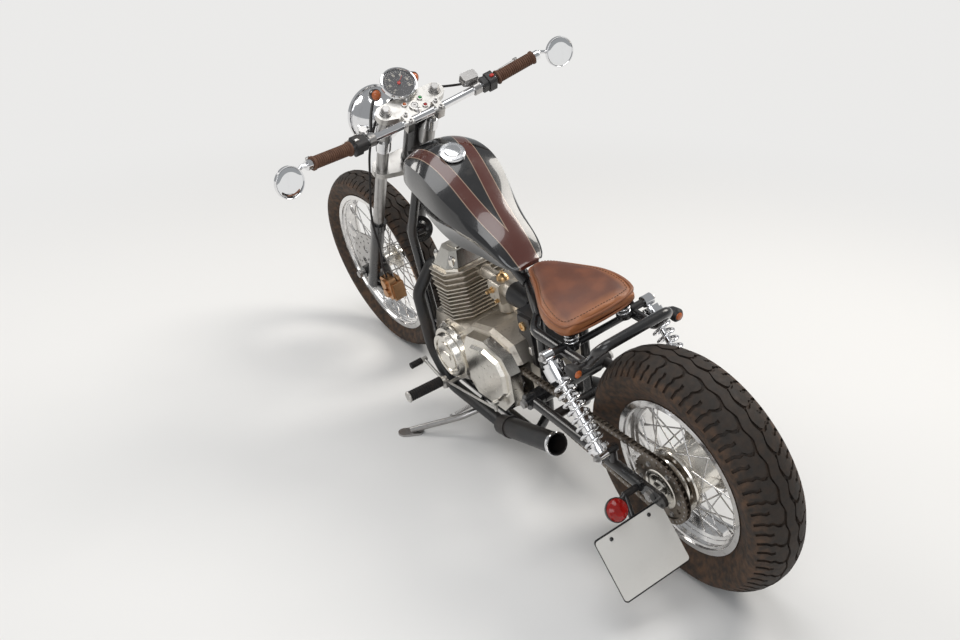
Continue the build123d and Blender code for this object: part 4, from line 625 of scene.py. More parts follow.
@dataclass
class Assembly:
    """A sub-assembly of the machine, with the modelling steps that all of them share."""

    stance: Stance
    looks: Finishes

    @staticmethod
    def alone(obj: Piece | None = None) -> None:
        """Leaves nothing selected but obj.

        Args:
            obj: the object, or none.
        """
        if bpy.context.object and bpy.context.object.mode != "OBJECT":
            bpy.ops.object.mode_set(mode="OBJECT")
        bpy.ops.object.select_all(action="DESELECT")
        if obj is not None:
            obj.select_set(True)
            bpy.context.view_layer.objects.active = obj

    @staticmethod
    def edit(obj: Piece, faces: Callable[[bpy.types.MeshPolygon], bool]) -> None:
        """Goes into edit mode with the faces that pass the test selected.

        Args:
            obj: the object.
            faces: the test.
        """
        Assembly.alone(obj)
        bpy.ops.object.mode_set(mode="EDIT")
        bpy.ops.mesh.select_mode(type="FACE")
        bpy.ops.mesh.select_all(action="DESELECT")
        bpy.ops.object.mode_set(mode="OBJECT")
        for face in obj.data.polygons:
            face.select = faces(face)
        bpy.ops.object.mode_set(mode="EDIT")

    @staticmethod
    def merge(obj: Piece, threshold: float) -> None:
        """Goes into edit mode with all selected, and merges what lies within the threshold.

        Args:
            obj: the object.
            threshold: the distance.
        """
        Assembly.alone(obj)
        bpy.ops.object.mode_set(mode="EDIT")
        bpy.ops.mesh.select_all(action="SELECT")
        bpy.ops.mesh.remove_doubles(threshold=threshold)

    @staticmethod
    def modifier(obj: Piece, kind: str, **settings: object) -> None:
        """Adds a modifier, sets it and applies it.

        Args:
            obj: the object.
            kind: the modifier's type.
            settings: its settings.
        """
        Assembly.alone(obj)
        modifier = obj.modifiers.new(kind.lower(), kind)
        for key, value in settings.items():
            setattr(modifier, key, value)
        bpy.ops.object.modifier_apply(modifier=modifier.name)

    @staticmethod
    def aim(start: Vector, end: Vector) -> Matrix:
        """A matrix that takes Z from the origin to the way from start to end, at start."""
        way = Vector(end) - Vector(start)
        return Matrix.Translation(start) @ way.to_track_quat("Z", "Y").to_matrix().to_4x4()

    def new(self, kind: str, **sizes: object) -> Piece:
        """Adds a primitive, by its name and the operator's own arguments.

        Args:
            kind: the primitive's name.
            sizes: the operator's arguments.

        Returns:
            The primitive.
        """
        self.alone()
        getattr(bpy.ops.mesh, f"primitive_{kind}_add")(**sizes)
        bpy.ops.object.transform_apply(location=True, rotation=True, scale=True)
        return bpy.context.object

    def block(self, size: Vector, bevel: float, segments: int = 3) -> Piece:
        """A block with rounded edges.

        Args:
            size: its size.
            bevel: the edges' width.
            segments: steps of each edge.

        Returns:
            The block.
        """
        obj = self.new("cube", size=1)
        obj.data.transform(Matrix.Diagonal((*size, 1)))
        self.modifier(obj, "BEVEL", width=bevel, segments=segments)
        return obj

    def lathe(self, profile: Profile, sides: int = 32, seat: Matrix = Matrix()) -> Piece:
        """A solid turned about Z, raised step by step from its foot.

        Args:
            profile: heights and radii from the foot to the top, in millimetres. Where it comes
                back to its first point, the piece is an open ring.
            sides: how many sides it has, such as 6 for a nut.
            seat: where the finished solid stands.

        Returns:
            The solid.
        """
        steps = [(height / 1000, radius / 1000) for height, radius in profile]
        height, radius = steps[0]
        hollow = steps[0] == steps[-1]
        ops = bpy.ops.mesh
        extrude = ops.extrude_edges_move if hollow else ops.extrude_region_move
        obj = self.new("circle", vertices=sides, radius=radius, location=(0, 0, height),
                       fill_type="NOTHING" if hollow else "NGON")
        bpy.ops.object.mode_set(mode="EDIT")
        ops.select_all(action="SELECT")
        for top, wide in steps[1:]:
            extrude(TRANSFORM_OT_translate={"value": (0, 0, top - height)})
            bpy.ops.transform.resize(value=(wide / radius, wide / radius, 1),
                                     center_override=(0, 0, top))
            height, radius = top, wide
        bpy.ops.object.mode_set(mode="OBJECT")
        obj.data.transform(seat)
        return obj

    def curve(self, name: str, points: Sequence[Vector], ring: bool, steps: int,
              radius: float = 0.0, roundness: int = 4) -> Piece:
        """A smooth curve with the points as its control points.

        Args:
            name: the curve's name.
            points: the control points.
            ring: whether it closes on itself.
            steps: how many steps it has from point to point.
            radius: the radius of its bead, if it has one.
            roundness: how many steps a quarter of the bead has.

        Returns:
            The curve.
        """
        self.alone()
        data = bpy.data.curves.new(name, "CURVE")
        data.dimensions = "3D"
        data.resolution_u = steps
        spline = data.splines.new("NURBS")
        spline.points.add(len(points) - 1)
        for point, place in zip(spline.points, points):
            point.co = (*place, 1.0)
        spline.order_u = 3
        spline.use_cyclic_u = ring
        spline.use_endpoint_u = not ring
        if radius:
            data.bevel_depth = radius
            data.bevel_resolution = roundness
            data.use_fill_caps = True
        return put(name, data)

    def line(self, points: Sequence[Vector], ring: bool = False) -> list[Vector]:
        """The places along a smooth curve through its control points.

        Args:
            points: the control points.
            ring: whether it closes on itself.

        Returns:
            The places.
        """
        self.alone(self.curve("line", points, ring, 16))
        bpy.ops.object.convert(target="MESH")
        places = [vertex.co.copy() for vertex in bpy.context.object.data.vertices]
        bpy.data.objects.remove(bpy.context.object)
        return places

    def tube(self, points: Sequence[Vector], radius: float, ring: bool = False) -> Piece:
        """A round bead along a smooth line, as a mesh.

        Args:
            points: the control points.
            radius: the bead's radius.
            ring: whether it closes on itself.

        Returns:
            The bead.
        """
        self.alone(self.curve("bead", points, ring, 6, radius, 3))
        bpy.ops.object.convert(target="MESH")
        return bpy.context.object

    def join(self, parts: Sequence[Piece]) -> Piece:
        """Joins several objects into the first.

        Args:
            parts: the objects.

        Returns:
            The joined object.
        """
        self.alone(parts[0])
        for part in parts:
            part.select_set(True)
        if len(parts) > 1:
            bpy.ops.object.join()
        return parts[0]

    def copies(self, model: Piece, seats: Iterable[Matrix]) -> Piece:
        """Joined copies of a model, one at each seat. The model is used up.

        Args:
            model: the model.
            seats: where the copies stand.

        Returns:
            The joined copies.
        """
        made = []
        for seat in seats:
            mesh = model.data.copy()
            mesh.transform(seat)
            made.append(put("copy", mesh))
        bpy.data.objects.remove(model)
        return self.join(made)

    def done(self, obj: Piece, name: str, body: Body, material: Material, slot: str,
             smooth: float = 30.0, recalculate: bool = True) -> Piece:
        """Places a piece drawn on the upright machine, and gives it its finish and its body.

        Args:
            obj: the piece.
            name: its name.
            body: the body that it rides on.
            material: its finish.
            slot: the record's material slot; not used.
            smooth: the angle under which edges are smooth, in degrees.
            recalculate: whether its normals are made to point outwards first.

        Returns:
            The piece.
        """
        self.alone(obj)
        if recalculate:
            self.merge(obj, 0.00001)
            bpy.ops.mesh.normals_make_consistent(inside=False)
            bpy.ops.object.mode_set(mode="OBJECT")
        obj.data.transform(self.stance.matrix(body))
        bpy.ops.object.shade_smooth_by_angle(angle=math.radians(smooth))
        obj.name = name
        obj.data.materials.clear()
        obj.data.materials.append(material)
        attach(obj, body.value)
        log.info("%s: %d faces on %s", name, len(obj.data.polygons), body.value)
        return obj

    def turned(self, name: str, body: Body, material: Material, slot: str, profile: Profile,
               sides: int, seats: Iterable[Matrix], smooth: float = 30.0) -> Piece:
        """A finished piece of one turned solid or of several like it.

        Args:
            name: its name.
            body: the body that it rides on.
            material: its finish.
            slot: the record's material slot; only passed on to done, which does not use it.
            profile: heights and radii in millimetres.
            sides: how many sides each solid has.
            seats: where the solids stand.
            smooth: the angle under which edges are smooth, in degrees.

        Returns:
            The piece.
        """
        row = self.copies(self.lathe(profile, sides), seats)
        return self.done(row, name, body, material, slot, smooth)


@dataclass
class CadFinishes(Assembly):
    """The finish of every carried-over node."""

    smooth: float = 28.0

    def dress(self, nodes: dict[str, Piece]) -> None:
        """Gives each node its material and smooth shading.

        Args:
            nodes: the frame's nodes by name.
        """
        f = self.looks
        table = {
            f.frame_paint: "frame_tubes swingarm plate_bracket horn fork_sliders seat_pan "
                           "rack_bosses",
            f.chrome: "shock_bodies shock_springs seat_springs handlebar headlight gauge mirrors "
                      "fuel_cap",
            f.rim_chrome: "rear_rim front_rim",
            f.spoke_steel: "rear_spokes front_spokes",
            f.steel: "rear_axle front_axle brake_disc side_stand levers fork_stanchions "
                     "front_sprocket",
            f.chain_steel: "chain rear_sprocket",
            f.polished: "rear_hub front_hub sprocket_ring alternator_cover sprocket_cover "
                        "clutch_cover rocker_cover",
            f.satin: "yokes bar_clamps foot_controls",
            f.cast: "crankcase cylinder_barrel cylinder_head carburettor",
            f.bronze: "brake_caliper",
            f.black_satin: "exhausts battery_box",
            f.plastic: "air_filter switchgear turn_signals",
            f.grip: "grips",
            f.tyre: "rear_tyre front_tyre",
            f.tank: "fuel_tank",
            f.leather: "seat",
            f.plate_white: "number_plate",
            f.red_lens: "tail_lamp",
        }
        for material, names in table.items():
            for name in names.split():
                obj = nodes[name]
                obj.data.materials.clear()
                obj.data.materials.append(material)
                self.alone(obj)
                bpy.ops.object.shade_smooth_by_angle(angle=math.radians(self.smooth))
        left = sorted(set(nodes) - set(" ".join(table.values()).split()))
        log.info("nodes with no finish: %s", left)


@dataclass
class Tyre(Assembly):
    """A treaded tyre: a grooved strip, wrapped round the wheel.

    The strip's columns run from bead to bead. Grooves and flanks are given in columns from the
    crown's middle, and the rows of one tread pitch as shares of it.
    """

    name: str
    node: str
    body: Body
    centre: Vector
    radius: float
    half_width: float
    crown: float
    lip_radius: float
    bead_half: float
    pitches: int
    groove: float = 0.0085
    zigzag: float = 0.0462
    depth: float = 0.0065
    wave: float = 0.0032
    crown_first: int = 8
    crown_last: int = 24
    groove_starts: tuple[float, float] = (0.22, 0.72)
    round_groove: tuple[float, float] = (1.0, 2.0)
    waved: tuple[float, float] = (0.5, 2.5)
    short_grooves_from: float = 4.6
    flank_from: float = 5.5
    flank_width: float = 3.0
    groove_earth: float = 0.3
    shares: tuple[float, ...] = (1.0, 0.87, 0.74, 0.61, 0.48, 0.36, 0.24, 0.16, 0.0)
    shifts: tuple[float, ...] = (0.0, 0.06, 0.22, 0.10, 0.14, 0.34, 0.30, 0.42, 0.42, 0.42)

    def profile(self) -> list[tuple[float, float]]:
        """The outline from the left bead over the crown to the right one, and back inside.

        Returns:
            The points, as sides and radii.
        """
        edge = self.half_width * 0.86
        edge_radius = self.radius - self.crown + math.sqrt(self.crown ** 2 - edge ** 2)
        belly = (self.radius + self.lip_radius) / 2 + 0.004
        angles = [math.asin(edge / self.crown) * share for share in self.shares]
        crown = [(self.crown * math.sin(angle),
                  self.radius - self.crown * (1 - math.cos(angle))) for angle in angles]
        wall = [(self.bead_half, self.lip_radius - 0.010),
                (self.bead_half, self.lip_radius + 0.001),
                (self.bead_half + 0.004, self.lip_radius + 0.004),
                ((self.bead_half + self.half_width) / 2, (self.lip_radius + belly) / 2 - 0.003),
                (self.half_width - 0.003, belly - 0.012), (self.half_width - 0.0005, belly),
                (self.half_width - 0.0004, (edge_radius + belly) / 2),
                (self.half_width - 0.0025, (edge_radius * 2 + belly) / 3)]
        inside = [(self.bead_half - 0.009, self.lip_radius - 0.010),
                  (self.half_width - 0.016, belly - 0.008), (edge - 0.014, edge_radius - 0.013)]
        left = wall + crown
        right = [(-y, r) for y, r in reversed(left[:-1])]
        return (left + right + [(-y, r) for y, r in inside] + [(0.0, self.radius - 0.014)]
                + list(reversed(inside)))

    def build(self) -> None:
        """Builds the tyre in place of its node."""
        outline = self.profile()
        columns = len(outline)
        rows = self._rows()
        self.alone()
        bpy.ops.mesh.primitive_grid_add(x_subdivisions=columns, y_subdivisions=len(rows) - 1,
                                        size=1)
        obj = bpy.context.object
        for index, vertex in enumerate(obj.data.vertices):
            vertex.co = (index % (columns + 1), rows[index // (columns + 1)], 0)
        self.edit(obj, lambda face: self._grooved(face.center, rows))
        bpy.ops.mesh.extrude_region_move(TRANSFORM_OT_translate={"value": (0, 0, -1)})
        bpy.ops.object.mode_set(mode="OBJECT")
        self.modifier(obj, "ARRAY", count=self.pitches, use_relative_offset=False,
                      use_constant_offset=True, constant_offset_displace=(0, 1, 0),
                      use_merge_vertices=True, merge_threshold=0.0001)
        flanks = []
        for vertex in obj.data.vertices:
            column, along, low = vertex.co
            y, r = outline[int(round(column)) % columns]
            off = column - self._middle()
            sunk = low < -0.5
            flank = min(1.0, max(0.0, (abs(off) - self.flank_from) / self.flank_width))
            flanks.append(self.groove_earth if sunk else flank)
            if self.waved[0] < abs(off) < self.waved[1]:
                y += self.wave * math.sin(2 * math.pi * along)
            if self.crown_first - 1 <= column <= self.crown_last + 1:
                along += self._shift(off)
            if sunk:
                r -= self.depth
            angle = along / self.pitches * 2 * math.pi
            vertex.co = self.centre + Vector((r * math.sin(angle), y, r * math.cos(angle)))
        obj.data.attributes.new("flank", "FLOAT", "POINT").data.foreach_set("value", flanks)
        self.done(obj, self.name, self.body, self.looks.tyre, "tyre_rubber", 40.0)
        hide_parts(self.node)

    def _middle(self) -> float:
        """The column of the crown's middle."""
        return (self.crown_first + self.crown_last) / 2

    def _pitch(self) -> float:
        """The length of one tread pitch along the tyre."""
        return 2 * math.pi * self.radius / self.pitches

    def _rows(self) -> list[float]:
        """Where the rows of one tread pitch lie, as shares of it.

        Returns:
            The rows.
        """
        width = self.groove / self._pitch()
        first, second = self.groove_starts
        return [0.0, first, first + width, second, second + width, 1.0]

    def _grooved(self, place: Vector, rows: Sequence[float]) -> bool:
        """Whether a face lies in a groove: the long ones of its own side, or the short ones.

        Args:
            place: the face's middle.
            rows: the rows of one pitch.

        Returns:
            Whether it does.
        """
        if not self.crown_first - 1 < place.x < self.crown_last + 1:
            return False
        reach = abs(place.x - self._middle())
        if self.round_groove[0] < reach < self.round_groove[1]:
            return True
        band = next(index for index in range(len(rows) - 1)
                    if rows[index] < place.y < rows[index + 1])
        own = 1 if place.x < self._middle() else 3
        return (band == own and reach > self.round_groove[1]) or (
            band in (1, 3) and reach > self.short_grooves_from)

    def _shift(self, off: float) -> float:
        """How far a column of the tread is shifted along the tyre, as a share of the pitch.

        Args:
            off: the column, from the crown's middle.

        Returns:
            The shift.
        """
        place = min(abs(off), len(self.shifts) - 1.01)
        low = int(place)
        shift = self.shifts[low] + (self.shifts[low + 1] - self.shifts[low]) * (place - low)
        return shift * self.zigzag / self._pitch()


@dataclass
class Saddle(Assembly):
    """The solo saddle: a padded leather cover with a rolled edge and a row of stitches.

    Its outline runs from the rear to the nose, by place, half width and height.
    """

    origin: Vector = Vector((0.272, 0.0, 0.606))
    tilt: float = 0.09
    voxel: float = 0.0045
    pressure: float = 3.5
    stiffness: float = 40.0
    frames: int = 20
    swell: float = 0.006
    sewn: float = 0.012
    outline: tuple[Spot, ...] = (
        (0.000, 0.100, 0.024), (0.040, 0.116, 0.030), (0.110, 0.104, 0.036),
        (0.180, 0.062, 0.036), (0.240, 0.034, 0.030), (0.270, 0.018, 0.018))
    bead: float = 0.0046
    lower_bead_drop: float = 0.020
    stitch: float = 5.2
    stitch_pitch: float = 0.00832
    pale_rear: float = 0.03
    pale_nose: float = 0.24
    pale_from: float = 0.72
    pale_width: float = 0.22

    def point(self, along: float, side: float, height: float) -> Vector:
        """A point from the saddle's own rear edge, side and height.

        Args:
            along: from the rear edge.
            side: to the left.
            height: above the pan.

        Returns:
            The point.
        """
        forward = Vector((1, 0, self.tilt)).normalized()
        upward = Vector((-self.tilt, 0, 1)).normalized()
        return self.origin + forward * along + Vector((0, side, 0)) + upward * height

    def rim(self, inset: float, lift: float) -> list[Vector]:
        """The saddle's edge line, moved in and up.

        Args:
            inset: how far in.
            lift: how far up.

        Returns:
            The points, all the way round.
        """
        ends = {0: inset, len(self.outline) - 1: -inset}
        right, left = ([self.point(a + ends.get(index, 0), side * (w - inset), h + lift)
                        for index, (a, w, h) in enumerate(self.outline)] for side in (-1, 1))
        return right + list(reversed(left))

    def cover(self) -> Piece:
        """The padded cover, blown up from the seat's own block.

        Returns:
            The cover.
        """
        obj = put("saddle_cover", frame["nodes"]["seat"].data.copy())
        obj.data.transform(self.stance.parked.inverted())
        self.merge(obj, 0.00002)
        bpy.ops.object.mode_set(mode="OBJECT")
        self.modifier(obj, "REMESH", mode="VOXEL", voxel_size=self.voxel, use_smooth_shade=True)
        self.modifier(obj, "SMOOTH", factor=0.6, iterations=10)
        self._inflate(obj)
        self.modifier(obj, "SMOOTH", factor=0.5, iterations=4)
        self.modifier(obj, "SUBSURF", levels=1, render_levels=1)
        pale = [self._pale(vertex.co) for vertex in obj.data.vertices]
        obj.data.attributes.new("edge", "FLOAT", "POINT").data.foreach_set("value", pale)
        return obj

    def _inflate(self, obj: Piece) -> None:
        """Blows the cover up as cloth, and caps how far a point may move.

        Args:
            obj: the cover.
        """
        start = [vertex.co.copy() for vertex in obj.data.vertices]
        normals = [vertex.normal.copy() for vertex in obj.data.vertices]
        self.alone(obj)
        cloth = obj.modifiers.new("cloth", "CLOTH")
        cloth.settings.use_pressure = True
        cloth.settings.uniform_pressure_force = self.pressure
        cloth.settings.tension_stiffness = self.stiffness
        cloth.settings.compression_stiffness = self.stiffness
        cloth.settings.bending_stiffness = 2.0
        cloth.settings.effector_weights.gravity = 0
        cloth.point_cache.frame_start = 1
        cloth.point_cache.frame_end = self.frames
        for step in range(1, self.frames + 1):
            bpy.context.scene.frame_set(step)
        bpy.ops.object.modifier_apply(modifier=cloth.name)
        bpy.context.scene.frame_set(1)
        for vertex, place, normal in zip(obj.data.vertices, start, normals):
            push = min(self.swell, max(0.0, (vertex.co - place).dot(normal)))
            above = min(1.0, max(0.0, (place.z - self.origin.z - self.sewn) / self.sewn))
            vertex.co = place + normal * push * above

    def _pale(self, place: Vector) -> float:
        """How near a point is to the rolled edge, for the leather's pale rim.

        Args:
            place: the point.

        Returns:
            From 0 to 1 at the edge.
        """
        along = place.x - self.origin.x
        near = abs(place.y) / self._half(along)
        end = max(self.pale_rear - along, along - self.pale_nose) / self.pale_rear
        return min(1.0, max((near - self.pale_from) / self.pale_width, end, 0.0))

    def _half(self, along: float) -> float:
        """The saddle's half width at a place along it.

        Args:
            along: the place.

        Returns:
            The half width.
        """
        rows = self.outline
        if along <= rows[0][0]:
            return rows[0][1]
        for (a, wa, _), (b, wb, _) in zip(rows, rows[1:]):
            if along <= b:
                return wa + (wb - wa) * (along - a) / (b - a)
        return rows[-1][1]

    def seam(self, cover: Piece) -> list[Matrix]:
        """Where the stitches lie on the cover, along a line inside its rolled edge.

        Args:
            cover: the finished cover.

        Returns:
            The seats of the stitches.
        """
        line = self.line(self.rim(0.012, 0.009), True)
        seats = []
        for place, way in spaced(line + line[:1], self.stitch_pitch):
            _, spot, normal, _ = cover.closest_point_on_mesh(place)
            spot = spot + normal * 0.0003
            seats.append(self.aim(spot, spot + way))
        return seats

    def build(self) -> None:
        """Builds the cover, its rolled edge and its stitches in place of the seat's block."""
        cover = self.cover()
        seats = self.seam(cover)
        self.done(cover, "saddle_cover", Body.FRAME, self.looks.leather, "leather", 60.0, False)
        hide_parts("seat")
        low = [point - Vector((0, 0, self.lower_bead_drop)) for point in self.rim(0.0, 0.0)]
        for name, rim, radius in (("saddle_rolled_edge", self.rim(0.001, 0.002), self.bead),
                                  ("saddle_lower_bead", low, self.bead * 0.7)):
            self.done(self.tube(rim, radius, True), name, Body.FRAME, self.looks.welt, "leather",
                      60.0, False)
        profile = [(-self.stitch / 2, 0.5), (-self.stitch * 0.3, 1.1), (self.stitch * 0.3, 1.1),
                   (self.stitch / 2, 0.5)]
        self.turned("saddle_stitches", Body.FRAME, self.looks.thread, "leather", profile, 6, seats,
                    60.0)


@dataclass
class Controls(Assembly):
    """The bar's grips and mirror glasses, all on the fork."""

    grip_start: Vector = mm(21.7, -9.3, 237)
    grip_end: Vector = mm(45.5, -16.2, 360)
    mirror: Vector = mm(47.2, -40.7, 435)
    mirror_profile: Profile = ((-1.4, 37.8), (-0.4, 37.8), (0, 36.666), (0.5, 26.46),
                               (0.7, 13.23), (0.8, 0.756))
    ribs: int = 17

    def build(self) -> None:
        """Builds the ribbed sleeves of the grips and the mirrors' glasses."""
        grips, seats = [], []
        for side in SIDES:
            start, end, centre = (self.stance.on_bar(place, side)
                                  for place in (self.grip_start, self.grip_end, self.mirror))
            length = (end - start).length * 1000 - 4
            foot = start + (end - start).normalized() * 0.002
            grips.append(self.lathe(self._sleeve(length), 40, self.aim(foot, end)))
            seats.append(self.aim(centre, centre + Vector((-1, -side * 0.15, 0.1))))
        sleeves = self.done(self.join(grips), "ribbed_grips", Body.FORK, self.looks.grip,
                            "grip_rubber", 50.0)
        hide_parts("grips")
        self.turned("mirror_glasses", Body.FORK, self.looks.mirror, "chrome", self.mirror_profile,
                    64, seats)

    def _sleeve(self, length: float) -> list[tuple[float, float]]:
        """The profile of a grip with ribs and flanged ends.

        Args:
            length: the grip's length in millimetres.

        Returns:
            The profile.
        """
        profile = [(0, 14.5), (0, 19), (1.5, 20), (4.5, 20), (6, 19)]
        pitch = (length - 20) / self.ribs
        for foot in (9 + index * pitch for index in range(self.ribs)):
            profile += [(foot, 15), (foot + pitch * 0.18, 16.8), (foot + pitch * 0.68, 16.8),
                        (foot + pitch * 0.86, 15)]
        return profile + [(length - 8, 17.2), (length - 6, 18.8), (length - 1, 18.8), (length, 17)]


@dataclass
class Dial(Assembly):
    """The gauge's dial with its ticks, numbers, needle and glass, on the fork."""

    along: float = 1.1468
    ahead: float = 0.0825
    facing: Vector = Vector((-0.6, 0, 0.8))
    reach: float = 43.5
    ticks: int = 25
    sweep: float = 250.0
    top_number: int = 6
    number_size: float = 0.0088
    number_ring: float = 0.02697
    tick_ring: float = 0.03915
    needle_turn: float = 128.0

    def build(self) -> None:
        """Builds the dial's pieces."""
        centre = self.stance.on_head(self.along, self.ahead)
        seat = self.aim(centre, centre + self.facing)
        across = seat.to_3x3().inverted() @ LEFT
        upright = seat @ Matrix.Rotation(math.atan2(across.y, across.x), 4, "Z")
        reach = self.reach
        self.turned("dial_face", Body.FORK, self.looks.dial_face, "plastic",
                    [(-3.9, reach), (-3.2, reach), (-3.2, reach * 0.72), (-3.4, reach * 0.70),
                     (-3.4, reach * 0.05)], 64, [seat])
        marks = self.join(self._ticks() + self._numbers())
        marks.data.transform(upright)
        self.done(marks, "dial_marks", Body.FORK, self.looks.dial_marks, "plastic", 30.0, False)
        needle = self.new("cone", vertices=4, radius1=0.0016, radius2=0.0004, depth=0.034)
        needle.data.transform(Matrix.Translation((0, 0, -0.0022))
                              @ Matrix.Rotation(math.radians(self.needle_turn), 4, "Z")
                              @ Matrix.Translation((0, 0.011, 0))
                              @ Matrix.Rotation(math.radians(-90), 4, "X"))
        hub = self.lathe([(-3.2, 5), (-1.4, 5), (-0.9, 4.2), (-0.9, 0.2)], 24)
        pointer = self.join([needle, hub])
        pointer.data.transform(upright)
        self.done(pointer, "dial_needle", Body.FORK, self.looks.red_plastic, "plastic")
        self.turned("dial_glass", Body.FORK, self.looks.clear, "chrome",
                    [(-0.6, reach), (0, reach), (0.6, reach * 0.9), (1, reach * 0.5),
                     (1.1, reach * 0.02)], 64, [seat])

    def _turn(self, share: float) -> Matrix:
        """The turn to a share of the dial's sweep."""
        return Matrix.Rotation(math.radians(self.sweep * (share - 0.5) + 180), 4, "Z")

    def _ticks(self) -> list[Piece]:
        """The dial's ticks, with every fourth one longer and wider.

        Returns:
            The ticks.
        """
        marks = []
        for index in range(self.ticks):
            wide, long = (0.0011, 0.0065) if index % 4 == 0 else (0.0007, 0.0038)
            tick = self.block((wide, long, 0.0004), 0.0001, 1)
            spot = (0, self.tick_ring - long / 2, -0.0030)
            tick.data.transform(self._turn(index / (self.ticks - 1)) @ Matrix.Translation(spot))
            marks.append(tick)
        return marks

    def _numbers(self) -> list[Piece]:
        """The dial's numbers, twenty apart.

        Returns:
            The numbers.
        """
        marks = []
        for index in range(self.top_number + 1):
            self.alone()
            bpy.ops.object.text_add()
            text = bpy.context.object.data
            text.body = str(20 * (self.top_number - index))
            text.size = self.number_size
            text.extrude = 0.0002
            text.align_x = "CENTER"
            text.align_y = "CENTER"
            bpy.ops.object.convert(target="MESH")
            spot = self._turn(index / self.top_number) @ Vector((0, self.number_ring, -0.0029))
            bpy.context.object.data.transform(Matrix.Translation(spot)
                                              @ Matrix.Rotation(math.radians(90), 4, "Z"))
            marks.append(bpy.context.object)
        return marks


@dataclass
class Lamps(Assembly):
    """Headlight lens and rim, tail lamp rim, and the lenses of the two rear turn signals."""

    head_along: float = 0.939
    head_ahead: float = 0.157
    head_way: Vector = Vector((1, 0, -0.05))
    head_radius: float = 73.5
    head_rim: Profile = ((36.5, 79), (36.5, 81.5), (39.5, 80), (40, 78), (38, 75.5), (34, 74.8),
                         (36.5, 79))
    tail: Vector = mm(19, 217, 314)
    tail_rim: Profile = ((3, 26.2), (3, 28.5), (7.5, 29), (10, 28), (10, 26.8), (3, 26.2))
    plate_slope: float = 36.0
    signal: Vector = mm(200, 152, 579)
    signal_lens: Profile = ((13, 11.8), (15, 11.8), (19, 11), (21.8, 8.5), (23.2, 4.5),
                            (23.6, 0.4))

    def build(self) -> None:
        """Builds the lenses and rims of the lamps that the frame's nodes carry."""
        centre = self.stance.on_head(self.head_along, self.head_ahead)
        seat = self.aim(centre, centre + self.head_way)
        reach = self.head_radius
        lens = [(27.5, reach), (32, reach)]
        lens += [(32 + 13 * (1 - (1 - step / 6) ** 2), reach * (1 - step / 6.3))
                 for step in range(1, 7)]
        self.turned("headlight_lens", Body.FORK, self.looks.lamp_glass, "chrome", lens, 72, [seat])
        self.turned("headlight_rim", Body.FORK, self.looks.chrome, "chrome", self.head_rim, 72,
                    [seat], 40.0)
        seat = self.aim(self.tail, self.tail + slope(self.plate_slope))
        self.turned("tail_lamp_rim", Body.FRAME, self.looks.black_gloss, "black_paint",
                    self.tail_rim, 48, [seat], 40.0)
        points = [on_side(self.signal, side) for side in SIDES]
        self.turned("signal_lenses", Body.FRAME, self.looks.orange_plastic, "red_lens",
                    self.signal_lens, 32,
                    [self.aim(point, point - Vector((1, 0, 0))) for point in points], 40.0)


@dataclass
class Laced(Assembly):
    """The nipples and the valve of one laced wheel."""

    wheel: str
    body: Body
    axle: Vector
    flange_radius: float
    flange_side: float
    rim_radius: float
    rim_side: float
    count: int = 18
    offset: float = 0.0035
    nipple: Profile = ((0, 4), (3, 4), (4, 3.1), (15, 2.9), (15.5, 2.2))
    valve: Profile = ((0, 6.2), (3, 6.2), (4, 4.2), (24, 4.2), (24, 5.2), (36, 5), (38.5, 3.4))
    valve_turn: float = -0.35

    def build(self) -> None:
        """Sets a nipple on every spoke, and the valve in the rim."""
        step = 2 * math.pi / self.count
        seats = []
        for side in SIDES:
            for index in range(self.count):
                forward = 1 if index % 2 == 0 else -1
                start = index * step + (step / 2 if side < 0 else 0)
                root, tip = (
                    self.axle + Vector((reach * math.cos(turn), side * (y + self.offset * forward),
                                        reach * math.sin(turn)))
                    for reach, y, turn in (
                        (self.flange_radius, self.flange_side, start),
                        (self.rim_radius, self.rim_side, start + forward * 3 * step)))
                seats.append(self.aim(tip, root))
        self.turned(f"{self.wheel}_nipples", self.body, self.looks.spoke_steel, "chrome",
                    self.nipple, 8, seats)
        way = Vector((math.sin(self.valve_turn), 0, math.cos(self.valve_turn)))
        foot = self.axle + way * (self.rim_radius + 0.001)
        self.turned(f"{self.wheel}_valve", self.body, self.looks.black_gloss, "chrome", self.valve,
                    20, [self.aim(foot, self.axle)])


@dataclass
class ChainPins(Assembly):
    """The riveted pins of the chain, seen on the faces of its plates."""

    pitch: float = 0.015875
    rear_teeth: int = 33
    front_teeth: int = 15
    shaft: Vector = mm(586, 0, 338)
    side: float = 0.096
    face: float = 0.0066
    pin: Profile = ((-0.2, 2.6), (0.6, 2.6), (1, 2))
    steps: int = 40

    def loop(self) -> list[Vector]:
        """The chain's line round both sprockets, closed.

        Returns:
            The points of the line.
        """
        axle = self.stance.rear_axle
        big, small = (self.pitch / 2 / math.sin(math.pi / teeth)
                      for teeth in (self.rear_teeth, self.front_teeth))
        span = self.shaft - axle
        tilt = math.atan2(span.z, span.x)
        wrap = math.asin((big - small) / math.hypot(span.x, span.z))
        top, low = tilt + math.pi / 2 - wrap, tilt - math.pi / 2 + wrap
        line = []
        for centre, reach, first, last in ((axle, big, low, top - 2 * math.pi),
                                           (self.shaft, small, top, low)):
            turns = [first + (last - first) * step / self.steps for step in range(self.steps + 1)]
            line += [Vector((centre.x + reach * math.cos(turn), self.side,
                             centre.z + reach * math.sin(turn))) for turn in turns]
        return line + line[:1]

    def build(self) -> None:
        """Sets a pin's head on both faces at every pin."""
        seats = [self.aim(place + LEFT * way * self.face, place + LEFT * way)
                 for place, _ in spaced(self.loop(), self.pitch)
                 for way in SIDES]
        self.turned("chain_pins", Body.FRAME, self.looks.steel, "steel", self.pin, 10, seats)


